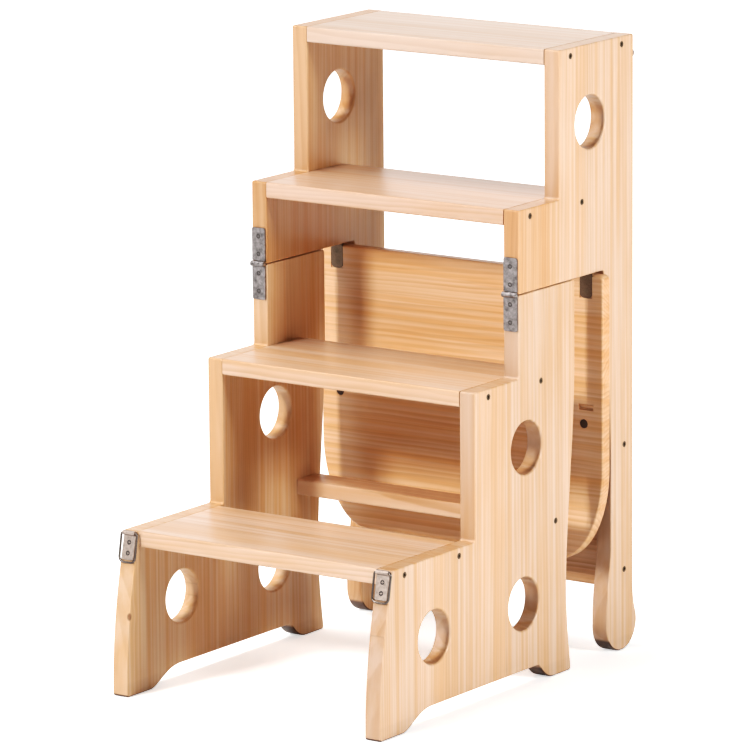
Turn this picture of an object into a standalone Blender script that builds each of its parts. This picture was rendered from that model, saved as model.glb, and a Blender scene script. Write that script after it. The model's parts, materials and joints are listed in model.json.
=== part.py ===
"""A library step chair in pine: four treads, or a chair once its upper half is turned over.

Metres, +Z up, front towards -Y, the origin on the floor under the middle. Inside this file
every y counts from the front face of riser 3, which carries the front hinges; the root empty
moves the whole chair to the origin. It stands as a step. Turning the upper half 180 degrees
about the front hinge pins nests it over the two lower steps, and the seat board turns with
it until it lies flat on both halves.
"""

import math
from collections import namedtuple

import bmesh
import bpy
from mathutils import Vector
from mathutils.geometry import interpolate_bezier

# Boards and clearances
WIDTH = 0.360
PANEL_THICKNESS = 0.020
BOARD_THICKNESS = 0.018
TREAD_DEPTH = 0.150
FIT_GAP = 0.0003
OVERRUN = 0.002

# The fold: where the two halves part and how they nest
FOLD_HEIGHT = 0.444
PARTING_GAP = 0.0006
PIN_STAND_OFF = 0.0035
NEST_GAP = 0.0006
NEST_SIDE_GAP = 0.001

# The base, seen from the side
STEP_1_HEIGHT = 0.184
STEP_2_HEIGHT = 0.350
STEP_1_GOING = 0.158
STEP_2_GOING = 0.087
BASE_TOP_DEPTH = 0.112
TOE_REACH = 0.0255
CATCH_FACE_HEIGHT = 0.037
TOE_LENGTH = 0.0425
ARCH_HEIGHT = 0.022
FRONT_INSTEP = 0.063
REAR_INSTEP = 0.050
HEEL_LENGTH = 0.046
HEEL_KICK = 0.0095
WAIST_SETBACK = 0.0175
WAIST_HEIGHT = 0.090
SHOULDER_HEIGHT = 0.350

# The upper half, seen from the side
LEG_TOP_DEPTH = 0.061
LEG_DEPTH = 0.0454
KNEE_HEIGHT = 0.225
ANKLE_HEIGHT = 0.125
CALF_HEIGHT = 0.085
CLUB_RADIUS = 0.031
CLUB_REACH = 0.0073
REAR_MARGIN = 0.001

# Edges and corners of the wood
RIM_RADIUS = 0.0015
CORNER_RADIUS = 0.0025
INNER_RADIUS = 0.003
TOE_RADIUS = 0.003
HEEL_RADIUS = 0.004
BOARD_EDGE_RADIUS = 0.002

# Round holes in the side panels
HOLE_RADIUS = 0.030
HOLE_EDGE_RADIUS = 0.0025

# Stretcher, backrest and seat
STRETCHER_WIDTH = 0.040
STRETCHER_SETBACK = 0.019
STRETCHER_RISE = 0.002
BACKREST_HEIGHT = 0.187
BACKREST_DROP = 0.185
BACKREST_INSET = 0.009
SEAT_OVERHANG = 0.013
SEAT_THICKNESS = 0.015
SEAT_LENGTH = 0.330
SEAT_TOP_GAP = 0.0023
SEAT_FOOT_CORNER_WIDTH = 0.062
SEAT_FOOT_CORNER_HEIGHT = 0.108
SEAT_TOP_RADIUS = 0.006
SEAT_EDGE_RADIUS = 0.003
HINGE_RELIEF_GAP = 0.0006

# Rubber buffers in the face of the seat board that lies down on the base
BUFFER_RADIUS = 0.005
BUFFER_DEPTH = 0.002
BUFFER_STAND_OUT = 0.0005
BUFFER_CHAMFER = 0.0004
BUFFER_SETBACK = 0.0158
BUFFER_INSET = 0.003

# Screws
SCREW_LENGTH = 0.040
SCREW_RADIUS = 0.0019
SCREW_HEAD_RADIUS = 0.0034
SCREW_HEAD_DEPTH = 0.0018
SOCKET_RADIUS = 0.0018
SOCKET_DEPTH = 0.0014
SCREW_INSET = 0.023
SCREW_PITCH = 0.104
BACKREST_SCREW_PITCH = 0.145
STEP_2_SCREW_SHIFT = 0.004

# Front hinges, screwed on riser 3
FRONT_LEAF_THICKNESS = 0.0018
FRONT_LEAF_MARGIN = 0.00125
FRONT_KNUCKLE_RADIUS = 0.0031
FRONT_PIN_RADIUS = 0.0015
LEAF_CORNER_RADIUS = 0.002
PIN_END = 0.0005

# Seat hinges, let in flush
SEAT_HINGE_SETBACK = 0.0214
SEAT_HINGE_STAND_OFF = 0.0004
SEAT_LEAF_LENGTH = 0.0285
SEAT_LEAF_THICKNESS = 0.0012
SEAT_LEAF_MARGIN = 0.002
SEAT_LEAF_CORNER_RADIUS = 0.005
SEAT_KNUCKLE_RADIUS = 0.0022
SEAT_PIN_RADIUS = 0.0009
KNUCKLE_POCKET_GAP = 0.0004

# Catches: a wire bail on the base that drops over a stud on the upper half
CATCH_DROP = 0.003
CATCH_STAND_OFF = 0.003
CATCH_PLATE_LENGTH = 0.030
CATCH_PLATE_THICKNESS = 0.0012
CATCH_MARGIN = 0.002
BARREL_RADIUS = 0.0026
WIRE_RADIUS = 0.0012
BAIL_WIDTH = 0.024
BAIL_REACH = 0.0316
BAIL_TOP_RADIUS = 0.0026
BAIL_END_RADIUS = 0.006
STUD_CLEARANCE = 0.0005
STUD_NECK_RADIUS = 0.0025
STUD_NECK_LENGTH = 0.008
STUD_HEAD_RADIUS = 0.0045
STUD_HEAD_LENGTH = 0.003
STUD_CHAMFER = 0.0006
STUD_THREAD_RADIUS = 0.002
STUD_THREAD_LENGTH = 0.014

# Places and curves as shares of the sizes that they follow
LOWER_HOLE_HEIGHT_SHARE = 0.516
FRONT_HOLE_SHARE = 0.678
REAR_HOLE_SHARE = 0.080
MIDDLE_HOLE_SHARES = (0.134, 0.524)
UPPER_HOLE_SHARES = (0.620, 0.474)
FRONT_LEAF_LENGTH_SHARE = 0.436
FRONT_INSTEP_SHARES = ((0, 0), (0.095, 0.45), (0.365, 0.98), (1, 1))
REAR_INSTEP_SHARES = ((0, 1), (0.24, 0.45), (0.54, 0), (1, 0))
ANKLE_HANDLE_SHARES = (0.25, 0.50)
CALF_HANDLE_SHARES = (0.35, 0.45)

# Directions on the club foot, in degrees round its centre, and how fine the curves are
CLUB_FRONT_ANGLE = 180
CLUB_REAR_ANGLE = 380
CLUB_SOLE_HALF_ANGLE = 8
FILLET_STEP = 30
SEAT_FILLET_STEP = 10
CURVE_STEPS = 6
HOLE_SIDES = 24
SCREW_SIDES = 12
KNUCKLE_SIDES = 16

# Heights and depths that follow
STEP_3_HEIGHT = 2 * FOLD_HEIGHT - STEP_2_HEIGHT - NEST_GAP
STEP_4_HEIGHT = 2 * FOLD_HEIGHT - STEP_1_HEIGHT - NEST_GAP
BASE_TOP = FOLD_HEIGHT - PARTING_GAP / 2
UPPER_BOTTOM = FOLD_HEIGHT + PARTING_GAP / 2
RISER_2 = -STEP_2_GOING
RISER_1 = RISER_2 - STEP_1_GOING
RISER_4 = STEP_2_GOING - 2 * PIN_STAND_OFF + NEST_SIDE_GAP
UPPER_REAR = RISER_4 + TREAD_DEPTH + REAR_MARGIN
LEG_FRONT = UPPER_REAR - LEG_TOP_DEPTH
TOE = RISER_1 - TOE_REACH
STUD_TIP = UPPER_REAR + FIT_GAP + STUD_NECK_LENGTH + STUD_HEAD_LENGTH
INNER_HALF_WIDTH = WIDTH / 2 - PANEL_THICKNESS
PANEL_CENTRE = WIDTH / 2 - PANEL_THICKNESS / 2

# The face under the first step leans out evenly as far as the catch reaches, then curves
# to upright at the toe
FLARE_HEIGHT = STEP_1_HEIGHT - CATCH_FACE_HEIGHT
CATCH_TILT = math.atan(TOE_REACH / (CATCH_FACE_HEIGHT + FLARE_HEIGHT / 2))
BAIL_REST = CATCH_TILT - math.asin((CATCH_STAND_OFF - WIRE_RADIUS - FIT_GAP) / (BAIL_REACH + WIRE_RADIUS))

# The three axes, as (y, z)
FOLD_AXIS = (-PIN_STAND_OFF, FOLD_HEIGHT)
SEAT_AXIS = (LEG_FRONT - SEAT_HINGE_SETBACK, UPPER_BOTTOM - SEAT_HINGE_STAND_OFF)
BAIL_AXIS = (
    RISER_1 - CATCH_DROP * math.sin(CATCH_TILT) - CATCH_STAND_OFF * math.cos(CATCH_TILT),
    STEP_1_HEIGHT - CATCH_DROP * math.cos(CATCH_TILT) + CATCH_STAND_OFF * math.sin(CATCH_TILT),
)

# The fold axis as the seat board meets it when it lies flat, as (y, z) from the seat axis, and
# how far down the board the buffers sit
FOLD_ON_BOARD = (SEAT_AXIS[1] - FOLD_AXIS[1], FOLD_AXIS[0] - SEAT_AXIS[0])
BUFFER_DROP = PIN_STAND_OFF + BUFFER_SETBACK - FOLD_ON_BOARD[1]

# A hinge leaf or catch plate: its width, its length from the axis, its plate, its distance
# from the axis to the plate's near face, its barrel and its bore
Leaf = namedtuple("Leaf", "width length thickness near barrel bore corner")

FRONT_LEAF = Leaf(
    PANEL_THICKNESS - 2 * FRONT_LEAF_MARGIN,
    (FOLD_HEIGHT - STEP_2_HEIGHT) * FRONT_LEAF_LENGTH_SHARE,
    FRONT_LEAF_THICKNESS,
    PIN_STAND_OFF - FIT_GAP - FRONT_LEAF_THICKNESS,
    FRONT_KNUCKLE_RADIUS,
    FRONT_PIN_RADIUS + FIT_GAP,
    LEAF_CORNER_RADIUS,
)
SEAT_LEAF = Leaf(
    PANEL_THICKNESS - 2 * SEAT_LEAF_MARGIN,
    SEAT_LEAF_LENGTH,
    SEAT_LEAF_THICKNESS,
    SEAT_HINGE_STAND_OFF,
    SEAT_KNUCKLE_RADIUS,
    SEAT_PIN_RADIUS + FIT_GAP,
    SEAT_LEAF_CORNER_RADIUS,
)
CATCH_PLATE = Leaf(
    PANEL_THICKNESS - 2 * CATCH_MARGIN,
    CATCH_PLATE_LENGTH,
    CATCH_PLATE_THICKNESS,
    CATCH_STAND_OFF - FIT_GAP - CATCH_PLATE_THICKNESS,
    BARREL_RADIUS,
    WIRE_RADIUS + FIT_GAP,
    LEAF_CORNER_RADIUS,
)


def clear_scene():
    for obj in list(bpy.data.objects):
        bpy.data.objects.remove(obj, do_unlink=True)


def material(name, colour, roughness, metallic):
    made = bpy.data.materials.new(name)
    made.use_nodes = True
    shader = made.node_tree.nodes["Principled BSDF"]
    shader.inputs["Base Color"].default_value = (*colour, 1)
    shader.inputs["Roughness"].default_value = roughness
    shader.inputs["Metallic"].default_value = metallic
    return made


# Outlines


def arc(centre, radius, start, end, steps):
    """Points on a circle from one angle to another, in degrees."""
    points = []
    for step in range(steps + 1):
        angle = math.radians(start + (end - start) * step / steps)
        points.append((centre[0] + radius * math.cos(angle), centre[1] + radius * math.sin(angle)))
    return points


def filleted(corners, arc_step=FILLET_STEP):
    """An outline whose (u, v, radius) corners are rounded and whose (u, v) points stay."""
    outline = []
    for index, corner in enumerate(corners):
        here = Vector(corner[:2])
        if len(corner) == 2:
            outline.append(tuple(here))
            continue
        before = (Vector(corners[index - 1][:2]) - here).normalized()
        after = (Vector(corners[(index + 1) % len(corners)][:2]) - here).normalized()
        inner_angle = before.angle(after)
        centre = here + (before + after).normalized() * corner[2] / math.sin(inner_angle / 2)
        reach = corner[2] / math.tan(inner_angle / 2)
        first = here + before * reach - centre
        last = here + after * reach - centre
        start = math.degrees(math.atan2(first.y, first.x))
        sweep = math.degrees(math.atan2(first.cross(last), first.dot(last)))
        steps = max(1, round(abs(sweep) / arc_step))
        outline += arc(centre, corner[2], start, start + sweep, steps)
    return outline


def shared_curve(corner, width, height, shares, steps=CURVE_STEPS):
    """A Bezier curve whose four points are shares of a width and a height from a corner."""
    handles = [Vector((corner[0] + width * u, corner[1] + height * v)) for u, v in shares]
    return [tuple(point) for point in interpolate_bezier(*handles, steps + 1)]


def smooth_step(share):
    return share * share * (3 - 2 * share)


def rectangle(low, high, radius):
    """A rectangle between two opposite corners, rounded alike."""
    return filleted(
        [(low[0], low[1], radius), (high[0], low[1], radius), (high[0], high[1], radius), (low[0], high[1], radius)]
    )


def base_rear_edge():
    """The base's rear edge from the heel to its shoulder: out at the foot, in at the waist."""
    waist = BASE_TOP_DEPTH - WAIST_SETBACK
    edge = []
    for step in range(1, CURVE_STEPS):
        share = 1 - step / CURVE_STEPS
        edge.append((waist + HEEL_KICK * share**1.5, WAIST_HEIGHT * (1 - share)))
    for step in range(CURVE_STEPS + 1):
        share = step / CURVE_STEPS
        height = WAIST_HEIGHT + (SHOULDER_HEIGHT - WAIST_HEIGHT) * share
        edge.append((waist + WAIST_SETBACK * smooth_step(share), height))
    return edge


def toe_flare():
    """The base's front edge below the catch's face, easing to upright at the toe."""
    run = TOE_REACH - CATCH_FACE_HEIGHT * math.tan(CATCH_TILT)
    flare = []
    for step in range(CURVE_STEPS):
        share = 1 - step / CURVE_STEPS
        flare.append((TOE + run * share**2, FLARE_HEIGHT * share))
    return flare


def base_outline():
    """Side view of the base: two steps in front, an arched foot below."""
    heel = BASE_TOP_DEPTH - WAIST_SETBACK + HEEL_KICK
    arch_end = heel - HEEL_LENGTH - REAR_INSTEP
    front_instep = shared_curve((TOE + TOE_LENGTH, 0), FRONT_INSTEP, ARCH_HEIGHT, FRONT_INSTEP_SHARES)
    rear_instep = shared_curve((arch_end, 0), REAR_INSTEP, ARCH_HEIGHT, REAR_INSTEP_SHARES)
    corners = [(TOE, 0, TOE_RADIUS)] + front_instep + rear_instep
    corners += [(heel, 0, HEEL_RADIUS)] + base_rear_edge()
    corners += [
        (BASE_TOP_DEPTH, BASE_TOP, HEEL_RADIUS),
        (0, BASE_TOP, CORNER_RADIUS),
        (0, STEP_2_HEIGHT, INNER_RADIUS),
        (RISER_2, STEP_2_HEIGHT, CORNER_RADIUS),
        (RISER_2, STEP_1_HEIGHT, INNER_RADIUS),
        (RISER_1, STEP_1_HEIGHT, CORNER_RADIUS),
    ]
    return filleted(corners + toe_flare())


def leg_front_edge():
    """The front of the rear leg, from the parting face down to its straight part."""
    edge = []
    slim = UPPER_REAR - LEG_DEPTH
    for step in range(1, CURVE_STEPS + 1):
        share = 1 - step / CURVE_STEPS
        height = KNEE_HEIGHT + (UPPER_BOTTOM - KNEE_HEIGHT) * share
        edge.append((slim - (LEG_TOP_DEPTH - LEG_DEPTH) * share**1.5, height))
    return edge


def club_foot():
    """The rounded foot of the leg with its small flat sole."""
    centre = (
        UPPER_REAR + CLUB_REACH - CLUB_RADIUS,
        CLUB_RADIUS * math.cos(math.radians(CLUB_SOLE_HALF_ANGLE)),
    )
    front = arc(centre, CLUB_RADIUS, CLUB_FRONT_ANGLE, 270 - CLUB_SOLE_HALF_ANGLE, CURVE_STEPS)
    rear = arc(centre, CLUB_RADIUS, 270 + CLUB_SOLE_HALF_ANGLE, CLUB_REAR_ANGLE, CURVE_STEPS)
    return joined_to_leg(front + rear)


def joined_to_leg(foot):
    """The foot's arc with the curves that lead into it from the leg's front and rear edges."""
    ankle = Vector((UPPER_REAR - LEG_DEPTH, ANKLE_HEIGHT))
    calf = Vector((UPPER_REAR, CALF_HEIGHT))
    first, last = Vector(foot[0]), Vector(foot[-1])
    front_angle, rear_angle = math.radians(CLUB_FRONT_ANGLE), math.radians(CLUB_REAR_ANGLE)
    into = Vector((math.sin(front_angle), -math.cos(front_angle))) * (ankle.y - first.y)
    out = Vector((-math.sin(rear_angle), math.cos(rear_angle))) * (calf.y - last.y)
    ankle_handle = ankle - Vector((0, ankle.y - first.y)) * ANKLE_HANDLE_SHARES[0]
    foot_handle = first + into * ANKLE_HANDLE_SHARES[1]
    heel_handle = last + out * CALF_HANDLE_SHARES[0]
    calf_handle = calf - Vector((0, calf.y - last.y)) * CALF_HANDLE_SHARES[1]
    lead_in = interpolate_bezier(ankle, ankle_handle, foot_handle, first, CURVE_STEPS + 1)
    lead_out = interpolate_bezier(last, heel_handle, calf_handle, calf, CURVE_STEPS + 1)
    return [tuple(point) for point in lead_in[:-1]] + foot + [tuple(point) for point in lead_out[1:]]


def upper_outline():
    """Side view of the upper half: two steps, and the long leg behind."""
    corners = [(0, UPPER_BOTTOM, CORNER_RADIUS), (LEG_FRONT, UPPER_BOTTOM, INNER_RADIUS)]
    corners += leg_front_edge() + club_foot()
    corners += [
        (UPPER_REAR, STEP_4_HEIGHT, CORNER_RADIUS),
        (RISER_4, STEP_4_HEIGHT, CORNER_RADIUS),
        (RISER_4, STEP_3_HEIGHT, INNER_RADIUS),
        (0, STEP_3_HEIGHT, CORNER_RADIUS),
    ]
    return filleted(corners)


# Solids


def drawn_out(axis, u, v, distance):
    """The place of an outline's point (u, v) at a distance along the axis it is drawn out on."""
    return {"X": (distance, u, v), "Y": (u, distance, v), "Z": (u, v, distance)}[axis]


def add_prism(bm, outline, start, end, axis="X"):
    """Adds an outline drawn out along an axis, and returns its two end faces."""
    near = bm.faces.new([bm.verts.new(drawn_out(axis, u, v, start)) for u, v in outline])
    grown = bmesh.ops.extrude_face_region(bm, geom=[near])["geom"]
    bmesh.ops.translate(
        bm,
        verts=[item for item in grown if isinstance(item, bmesh.types.BMVert)],
        vec=drawn_out(axis, 0, 0, end - start),
    )
    far = next(item for item in grown if isinstance(item, bmesh.types.BMFace))
    return near, far


def add_turned(bm, profile, start, direction, sides, socket_from=None):
    """Adds a closed turned body from a profile of (distance along the axis, radius).

    From the profile point with the index socket_from on, the rings are hexagons.
    """
    axis = Vector(direction)
    across = Vector((0, 0, 1))
    other = axis.cross(across)
    rings = []
    for index, (distance, radius) in enumerate(profile):
        ring = []
        for side in range(sides):
            angle = 2 * math.pi * side / sides
            hexagon = socket_from is not None and index >= socket_from and side % 2
            reach = radius * math.cos(math.pi / 6) if hexagon else radius
            spoke = across * math.cos(angle) + other * math.sin(angle)
            ring.append(bm.verts.new(Vector(start) + axis * distance + spoke * reach))
        rings.append(ring)
    for ring, following in zip(rings, rings[1:]):
        for side in range(sides):
            after = (side + 1) % sides
            bm.faces.new((ring[side], ring[after], following[after], following[side]))
    bm.faces.new(rings[0])
    bm.faces.new(rings[-1])


def round_rims(bm, faces, radius, segments=2):
    """Rounds the edges of a prism's two end faces."""
    edges = {edge for face in faces for edge in face.edges}
    bmesh.ops.bevel(bm, geom=list(edges), offset=radius, segments=segments, profile=0.5, affect="EDGES")


def mesh_of(bm, name):
    bmesh.ops.recalc_face_normals(bm, faces=bm.faces)
    mesh = bpy.data.meshes.new(name)
    bm.to_mesh(mesh)
    bm.free()
    mesh.shade_smooth()
    mesh.set_sharp_from_angle(angle=math.radians(35))
    return mesh


def placed(obj, place, parent, turn=0):
    """Puts an object at a place in the chair's coordinates, turned about X, under its parent."""
    obj["place"] = tuple(place)
    obj.parent = parent
    obj.location = Vector(place) - Vector(parent["place"])
    obj.rotation_euler = (math.radians(turn), 0, 0)
    bpy.context.scene.collection.objects.link(obj)
    return obj


def piece(name, mesh, finish, place, parent, turn=0):
    if not mesh.materials:
        mesh.materials.append(finish)
    return placed(bpy.data.objects.new(name, mesh), place, parent, turn)


def helper(target, bm, operation="DIFFERENCE"):
    """Cuts a shape out of a piece, or joins one to it, by a Boolean."""
    name = f"{target.name}_{operation.lower()}"
    shape = bpy.data.objects.new(name, mesh_of(bm, name))
    placed(shape, target["place"], target.parent)
    shape.rotation_euler = target.rotation_euler
    shape.hide_render = True
    shape.display_type = "WIRE"
    modifier = target.modifiers.new(name, "BOOLEAN")
    modifier.operation = operation
    modifier.solver = "EXACT"
    modifier.object = shape


# Screws and the holes that they need


def add_screw_hole(bm, end, into):
    """Adds the clearance of a whole screw, its countersink and its shank, in the panel."""
    slope = (SCREW_HEAD_RADIUS - SCREW_RADIUS) / SCREW_HEAD_DEPTH
    profile = [
        (-OVERRUN, SCREW_HEAD_RADIUS + FIT_GAP + OVERRUN * slope),
        (SCREW_HEAD_DEPTH, SCREW_RADIUS + FIT_GAP),
        (PANEL_THICKNESS + OVERRUN, SCREW_RADIUS + FIT_GAP),
    ]
    add_turned(bm, profile, end, (into, 0, 0), SCREW_SIDES)


def add_shank_hole(bm, end, into):
    """Adds the clearance of a screw's end in the board behind the panel."""
    depth = SCREW_LENGTH - PANEL_THICKNESS
    profile = [(-OVERRUN, SCREW_RADIUS + FIT_GAP), (depth, SCREW_RADIUS + FIT_GAP)]
    add_turned(bm, profile, end, (into, 0, 0), SCREW_SIDES)


def screw_mesh():
    """A countersunk screw along +X from the face of its head, with a hexagon socket."""
    profile = [
        (SCREW_LENGTH, SCREW_RADIUS),
        (SCREW_HEAD_DEPTH, SCREW_RADIUS),
        (0, SCREW_HEAD_RADIUS),
        (0, SOCKET_RADIUS),
        (SOCKET_DEPTH, SOCKET_RADIUS),
    ]
    bm = bmesh.new()
    add_turned(bm, profile, (0, 0, 0), (1, 0, 0), SCREW_SIDES, socket_from=3)
    return mesh_of(bm, "screw")


# Side panels


def add_round_hole(bm, centre):
    """Adds a hand hole with softened edges, across the panel."""
    profile = []
    for step in (1, 2):
        angle = math.pi / 2 * step / 3
        rise = HOLE_EDGE_RADIUS * (1 - math.cos(angle))
        run = HOLE_EDGE_RADIUS * (1 - math.sin(angle))
        profile.append((PANEL_THICKNESS - run, HOLE_RADIUS + rise))
    steepness = (profile[1][1] - profile[0][1]) / (profile[1][0] - profile[0][0])
    past = (PANEL_THICKNESS + OVERRUN, profile[1][1] + (PANEL_THICKNESS + OVERRUN - profile[1][0]) * steepness)
    half = [(PANEL_THICKNESS - HOLE_EDGE_RADIUS, HOLE_RADIUS)] + profile + [past]
    other_half = [(PANEL_THICKNESS - distance, radius) for distance, radius in reversed(half)]
    add_turned(bm, other_half + half, (0, *centre), (1, 0, 0), HOLE_SIDES)


def side_panel(name, outline, holes, screws, side, finish, parent):
    """A side panel: outline, hand holes and screw holes. side is -1 on the left, 1 on the right."""
    left_face = PANEL_CENTRE * side - PANEL_THICKNESS / 2
    bm = bmesh.new()
    ends = add_prism(bm, outline, 0, PANEL_THICKNESS)
    round_rims(bm, ends, RIM_RADIUS)
    panel = piece(name, mesh_of(bm, name), finish, (left_face, 0, 0), parent)
    outer_face = PANEL_THICKNESS if side > 0 else 0
    bm = bmesh.new()
    for hole in holes:
        add_round_hole(bm, hole)
    for y, z in screws:
        add_screw_hole(bm, (outer_face, y, z), -side)
    helper(panel, bm)
    return panel


def base_holes():
    low = STEP_1_HEIGHT * LOWER_HOLE_HEIGHT_SHARE
    middle = STEP_1_HEIGHT + (STEP_2_HEIGHT - STEP_1_HEIGHT) * MIDDLE_HOLE_SHARES[1]
    return [
        (RISER_1 * FRONT_HOLE_SHARE, low),
        (BASE_TOP_DEPTH * REAR_HOLE_SHARE, low),
        (BASE_TOP_DEPTH * MIDDLE_HOLE_SHARES[0], middle),
    ]


def upper_holes():
    rise = STEP_4_HEIGHT - STEP_3_HEIGHT
    return [(UPPER_REAR * UPPER_HOLE_SHARES[0], STEP_3_HEIGHT + rise * UPPER_HOLE_SHARES[1])]


# Boards between the panels


Rail = namedtuple("Rail", "name low high screws")


def tread(name, front, top, shift=0):
    """A tread by its front and top, with two screws in each end."""
    centre = top - BOARD_THICKNESS / 2
    first = front + SCREW_INSET + shift
    screws = [(first, centre), (first + SCREW_PITCH, centre)]
    return Rail(name, (front, top - BOARD_THICKNESS), (front + TREAD_DEPTH, top), screws)


def base_rails():
    top = STEP_1_HEIGHT + STRETCHER_RISE
    rear = BASE_TOP_DEPTH - STRETCHER_SETBACK
    middle = (rear - STRETCHER_WIDTH / 2, top - BOARD_THICKNESS / 2)
    stretcher = Rail("stretcher", (rear - STRETCHER_WIDTH, top - BOARD_THICKNESS), (rear, top), [middle])
    return [
        tread("tread_1", RISER_1, STEP_1_HEIGHT),
        tread("tread_2", RISER_2, STEP_2_HEIGHT, STEP_2_SCREW_SHIFT),
        stretcher,
    ]


def upper_rails():
    rear = UPPER_REAR - BACKREST_INSET
    top = FOLD_HEIGHT - BACKREST_DROP
    centre = (rear - BOARD_THICKNESS / 2, top - BACKREST_HEIGHT / 2)
    screws = [(centre[0], centre[1] + BACKREST_SCREW_PITCH * end / 2) for end in (-1, 1)]
    backrest = Rail("backrest_board", (rear - BOARD_THICKNESS, top - BACKREST_HEIGHT), (rear, top), screws)
    return [tread("tread_3", 0, STEP_3_HEIGHT), tread("tread_4", RISER_4, STEP_4_HEIGHT), backrest]


def rail_piece(rail, finish, parent):
    """A board between the side panels, with its long edges rounded and its ends drilled."""
    half = INNER_HALF_WIDTH - FIT_GAP
    bm = bmesh.new()
    add_prism(bm, rectangle(rail.low, rail.high, BOARD_EDGE_RADIUS), -half, half)
    board = piece(rail.name, mesh_of(bm, rail.name), finish, (0, 0, 0), parent)
    bm = bmesh.new()
    for y, z in rail.screws:
        add_shank_hole(bm, (-INNER_HALF_WIDTH, y, z), 1)
        add_shank_hole(bm, (INNER_HALF_WIDTH, y, z), -1)
    helper(board, bm)


def rail_screws(rail, mesh, finish, parent):
    """The screws of one board, each an object of its own."""
    for number, (y, z) in enumerate(rail.screws, 1):
        for side, word in ((-1, "left"), (1, "right")):
            name = f"screw_{rail.name}_{word}_{number}"
            screw = piece(name, mesh, finish, (side * WIDTH / 2, y, z), parent)
            screw.rotation_euler = (0, 0, math.radians(180) if side > 0 else 0)


# Hinges


def knuckle_outline(leaf):
    """The barrel round the axis at (0, 0), with its root running to the plate along +Y."""
    far = leaf.near + leaf.thickness
    upper = math.degrees(math.asin(min(1, far / leaf.barrel)))
    lower = math.degrees(math.asin(leaf.near / leaf.barrel)) + 360
    root = leaf.barrel + 2 * FIT_GAP
    return arc((0, 0), leaf.barrel, upper, lower, KNUCKLE_SIDES) + [(root, leaf.near), (root, far)]


def leaf_piece(name, leaf, slots, finish, place, parent, flip=1, turn=0):
    """A leaf round the axis X: its plate runs out along +Y, its wood lies on the +Z side.

    slots are the knuckles' (start, end) along X; flip -1 makes the plate run out along -Y.
    """
    far = leaf.near + leaf.thickness
    plate = rectangle((-leaf.width / 2, leaf.barrel + FIT_GAP), (leaf.width / 2, leaf.length), leaf.corner)
    bm = bmesh.new()
    add_prism(bm, [(x, y * flip) for x, y in square_at_barrel(plate, leaf)], leaf.near, far, "Z")
    made = piece(name, mesh_of(bm, name), finish, place, parent, turn)
    bm = bmesh.new()
    for start, end in slots:
        add_prism(bm, [(y * flip, z) for y, z in knuckle_outline(leaf)], start, end)
    helper(made, bm, "UNION")
    bm = bmesh.new()
    span = leaf.width + 2 * OVERRUN
    add_turned(bm, [(0, leaf.bore), (span, leaf.bore)], (-span / 2, 0, 0), (1, 0, 0), KNUCKLE_SIDES)
    helper(made, bm)
    return made


def square_at_barrel(plate, leaf):
    """The plate's outline with square corners beside the barrel and round ones at its end."""
    middle = (leaf.barrel + leaf.length) / 2
    rounded = [point for point in plate if point[1] > middle]
    root = leaf.barrel + FIT_GAP
    return [(-leaf.width / 2, root), (leaf.width / 2, root)] + rounded


def thirds(width):
    """A barrel's outer pair of knuckles and its middle one, with a running gap between."""
    edge = width / 6
    outer = [(-width / 2, -edge - FIT_GAP / 2), (edge + FIT_GAP / 2, width / 2)]
    middle = [(-edge + FIT_GAP / 2, edge - FIT_GAP / 2)]
    return outer, middle


def pin_piece(name, leaf, end, finish, place, parent):
    """A plain pin through the knuckles of two leaves, standing out by end on each side."""
    reach = leaf.width / 2 + end
    radius = leaf.bore - FIT_GAP
    bm = bmesh.new()
    profile = [(0, radius), (2 * reach, radius)]
    add_turned(bm, profile, (-reach, 0, 0), (1, 0, 0), KNUCKLE_SIDES)
    piece(name, mesh_of(bm, name), finish, place, parent)


def pocket_outline():
    """The recess of a flush leaf and its knuckle, round the axis at (0, 0), wood on +v."""
    radius = SEAT_KNUCKLE_RADIUS + KNUCKLE_POCKET_GAP
    floor = SEAT_HINGE_STAND_OFF + SEAT_LEAF_THICKNESS + FIT_GAP
    upper = math.degrees(math.asin(floor / radius))
    end = SEAT_LEAF_LENGTH + FIT_GAP
    round_knuckle = arc((0, 0), radius, upper, 360 - upper, KNUCKLE_SIDES)
    return round_knuckle + [(end, -floor), (end, floor)]


def add_pockets(bm, swap, flip):
    """Adds the recesses of both seat hinges; swap lays them against a face of the board."""
    half = SEAT_LEAF.width / 2 + FIT_GAP
    outline = [(u * flip, v) for u, v in pocket_outline()]
    if swap:
        outline = [(v, u) for u, v in outline]
    for side in (-1, 1):
        add_prism(bm, outline, PANEL_CENTRE * side - half, PANEL_CENTRE * side + half)


def front_hinge(word, x, finish, base, upper):
    place = (x, *FOLD_AXIS)
    outer, middle = thirds(FRONT_LEAF.width)
    leaf_piece(f"front_hinge_lower_leaf_{word}", FRONT_LEAF, outer, finish, place, base, turn=-90)
    leaf_piece(f"front_hinge_upper_leaf_{word}", FRONT_LEAF, middle, finish, place, upper, flip=-1, turn=-90)
    pin_piece(f"front_hinge_pin_{word}", FRONT_LEAF, PIN_END, finish, place, base)


def seat_hinge(word, x, finish, upper, seat):
    place = (x, *SEAT_AXIS)
    outer, middle = thirds(SEAT_LEAF.width)
    leaf_piece(f"seat_hinge_panel_leaf_{word}", SEAT_LEAF, outer, finish, place, upper, flip=-1)
    leaf_piece(f"seat_hinge_board_leaf_{word}", SEAT_LEAF, middle, finish, place, seat, turn=-90)
    pin_piece(f"seat_hinge_pin_{word}", SEAT_LEAF, 0, finish, place, upper)


# Seat board


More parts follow.
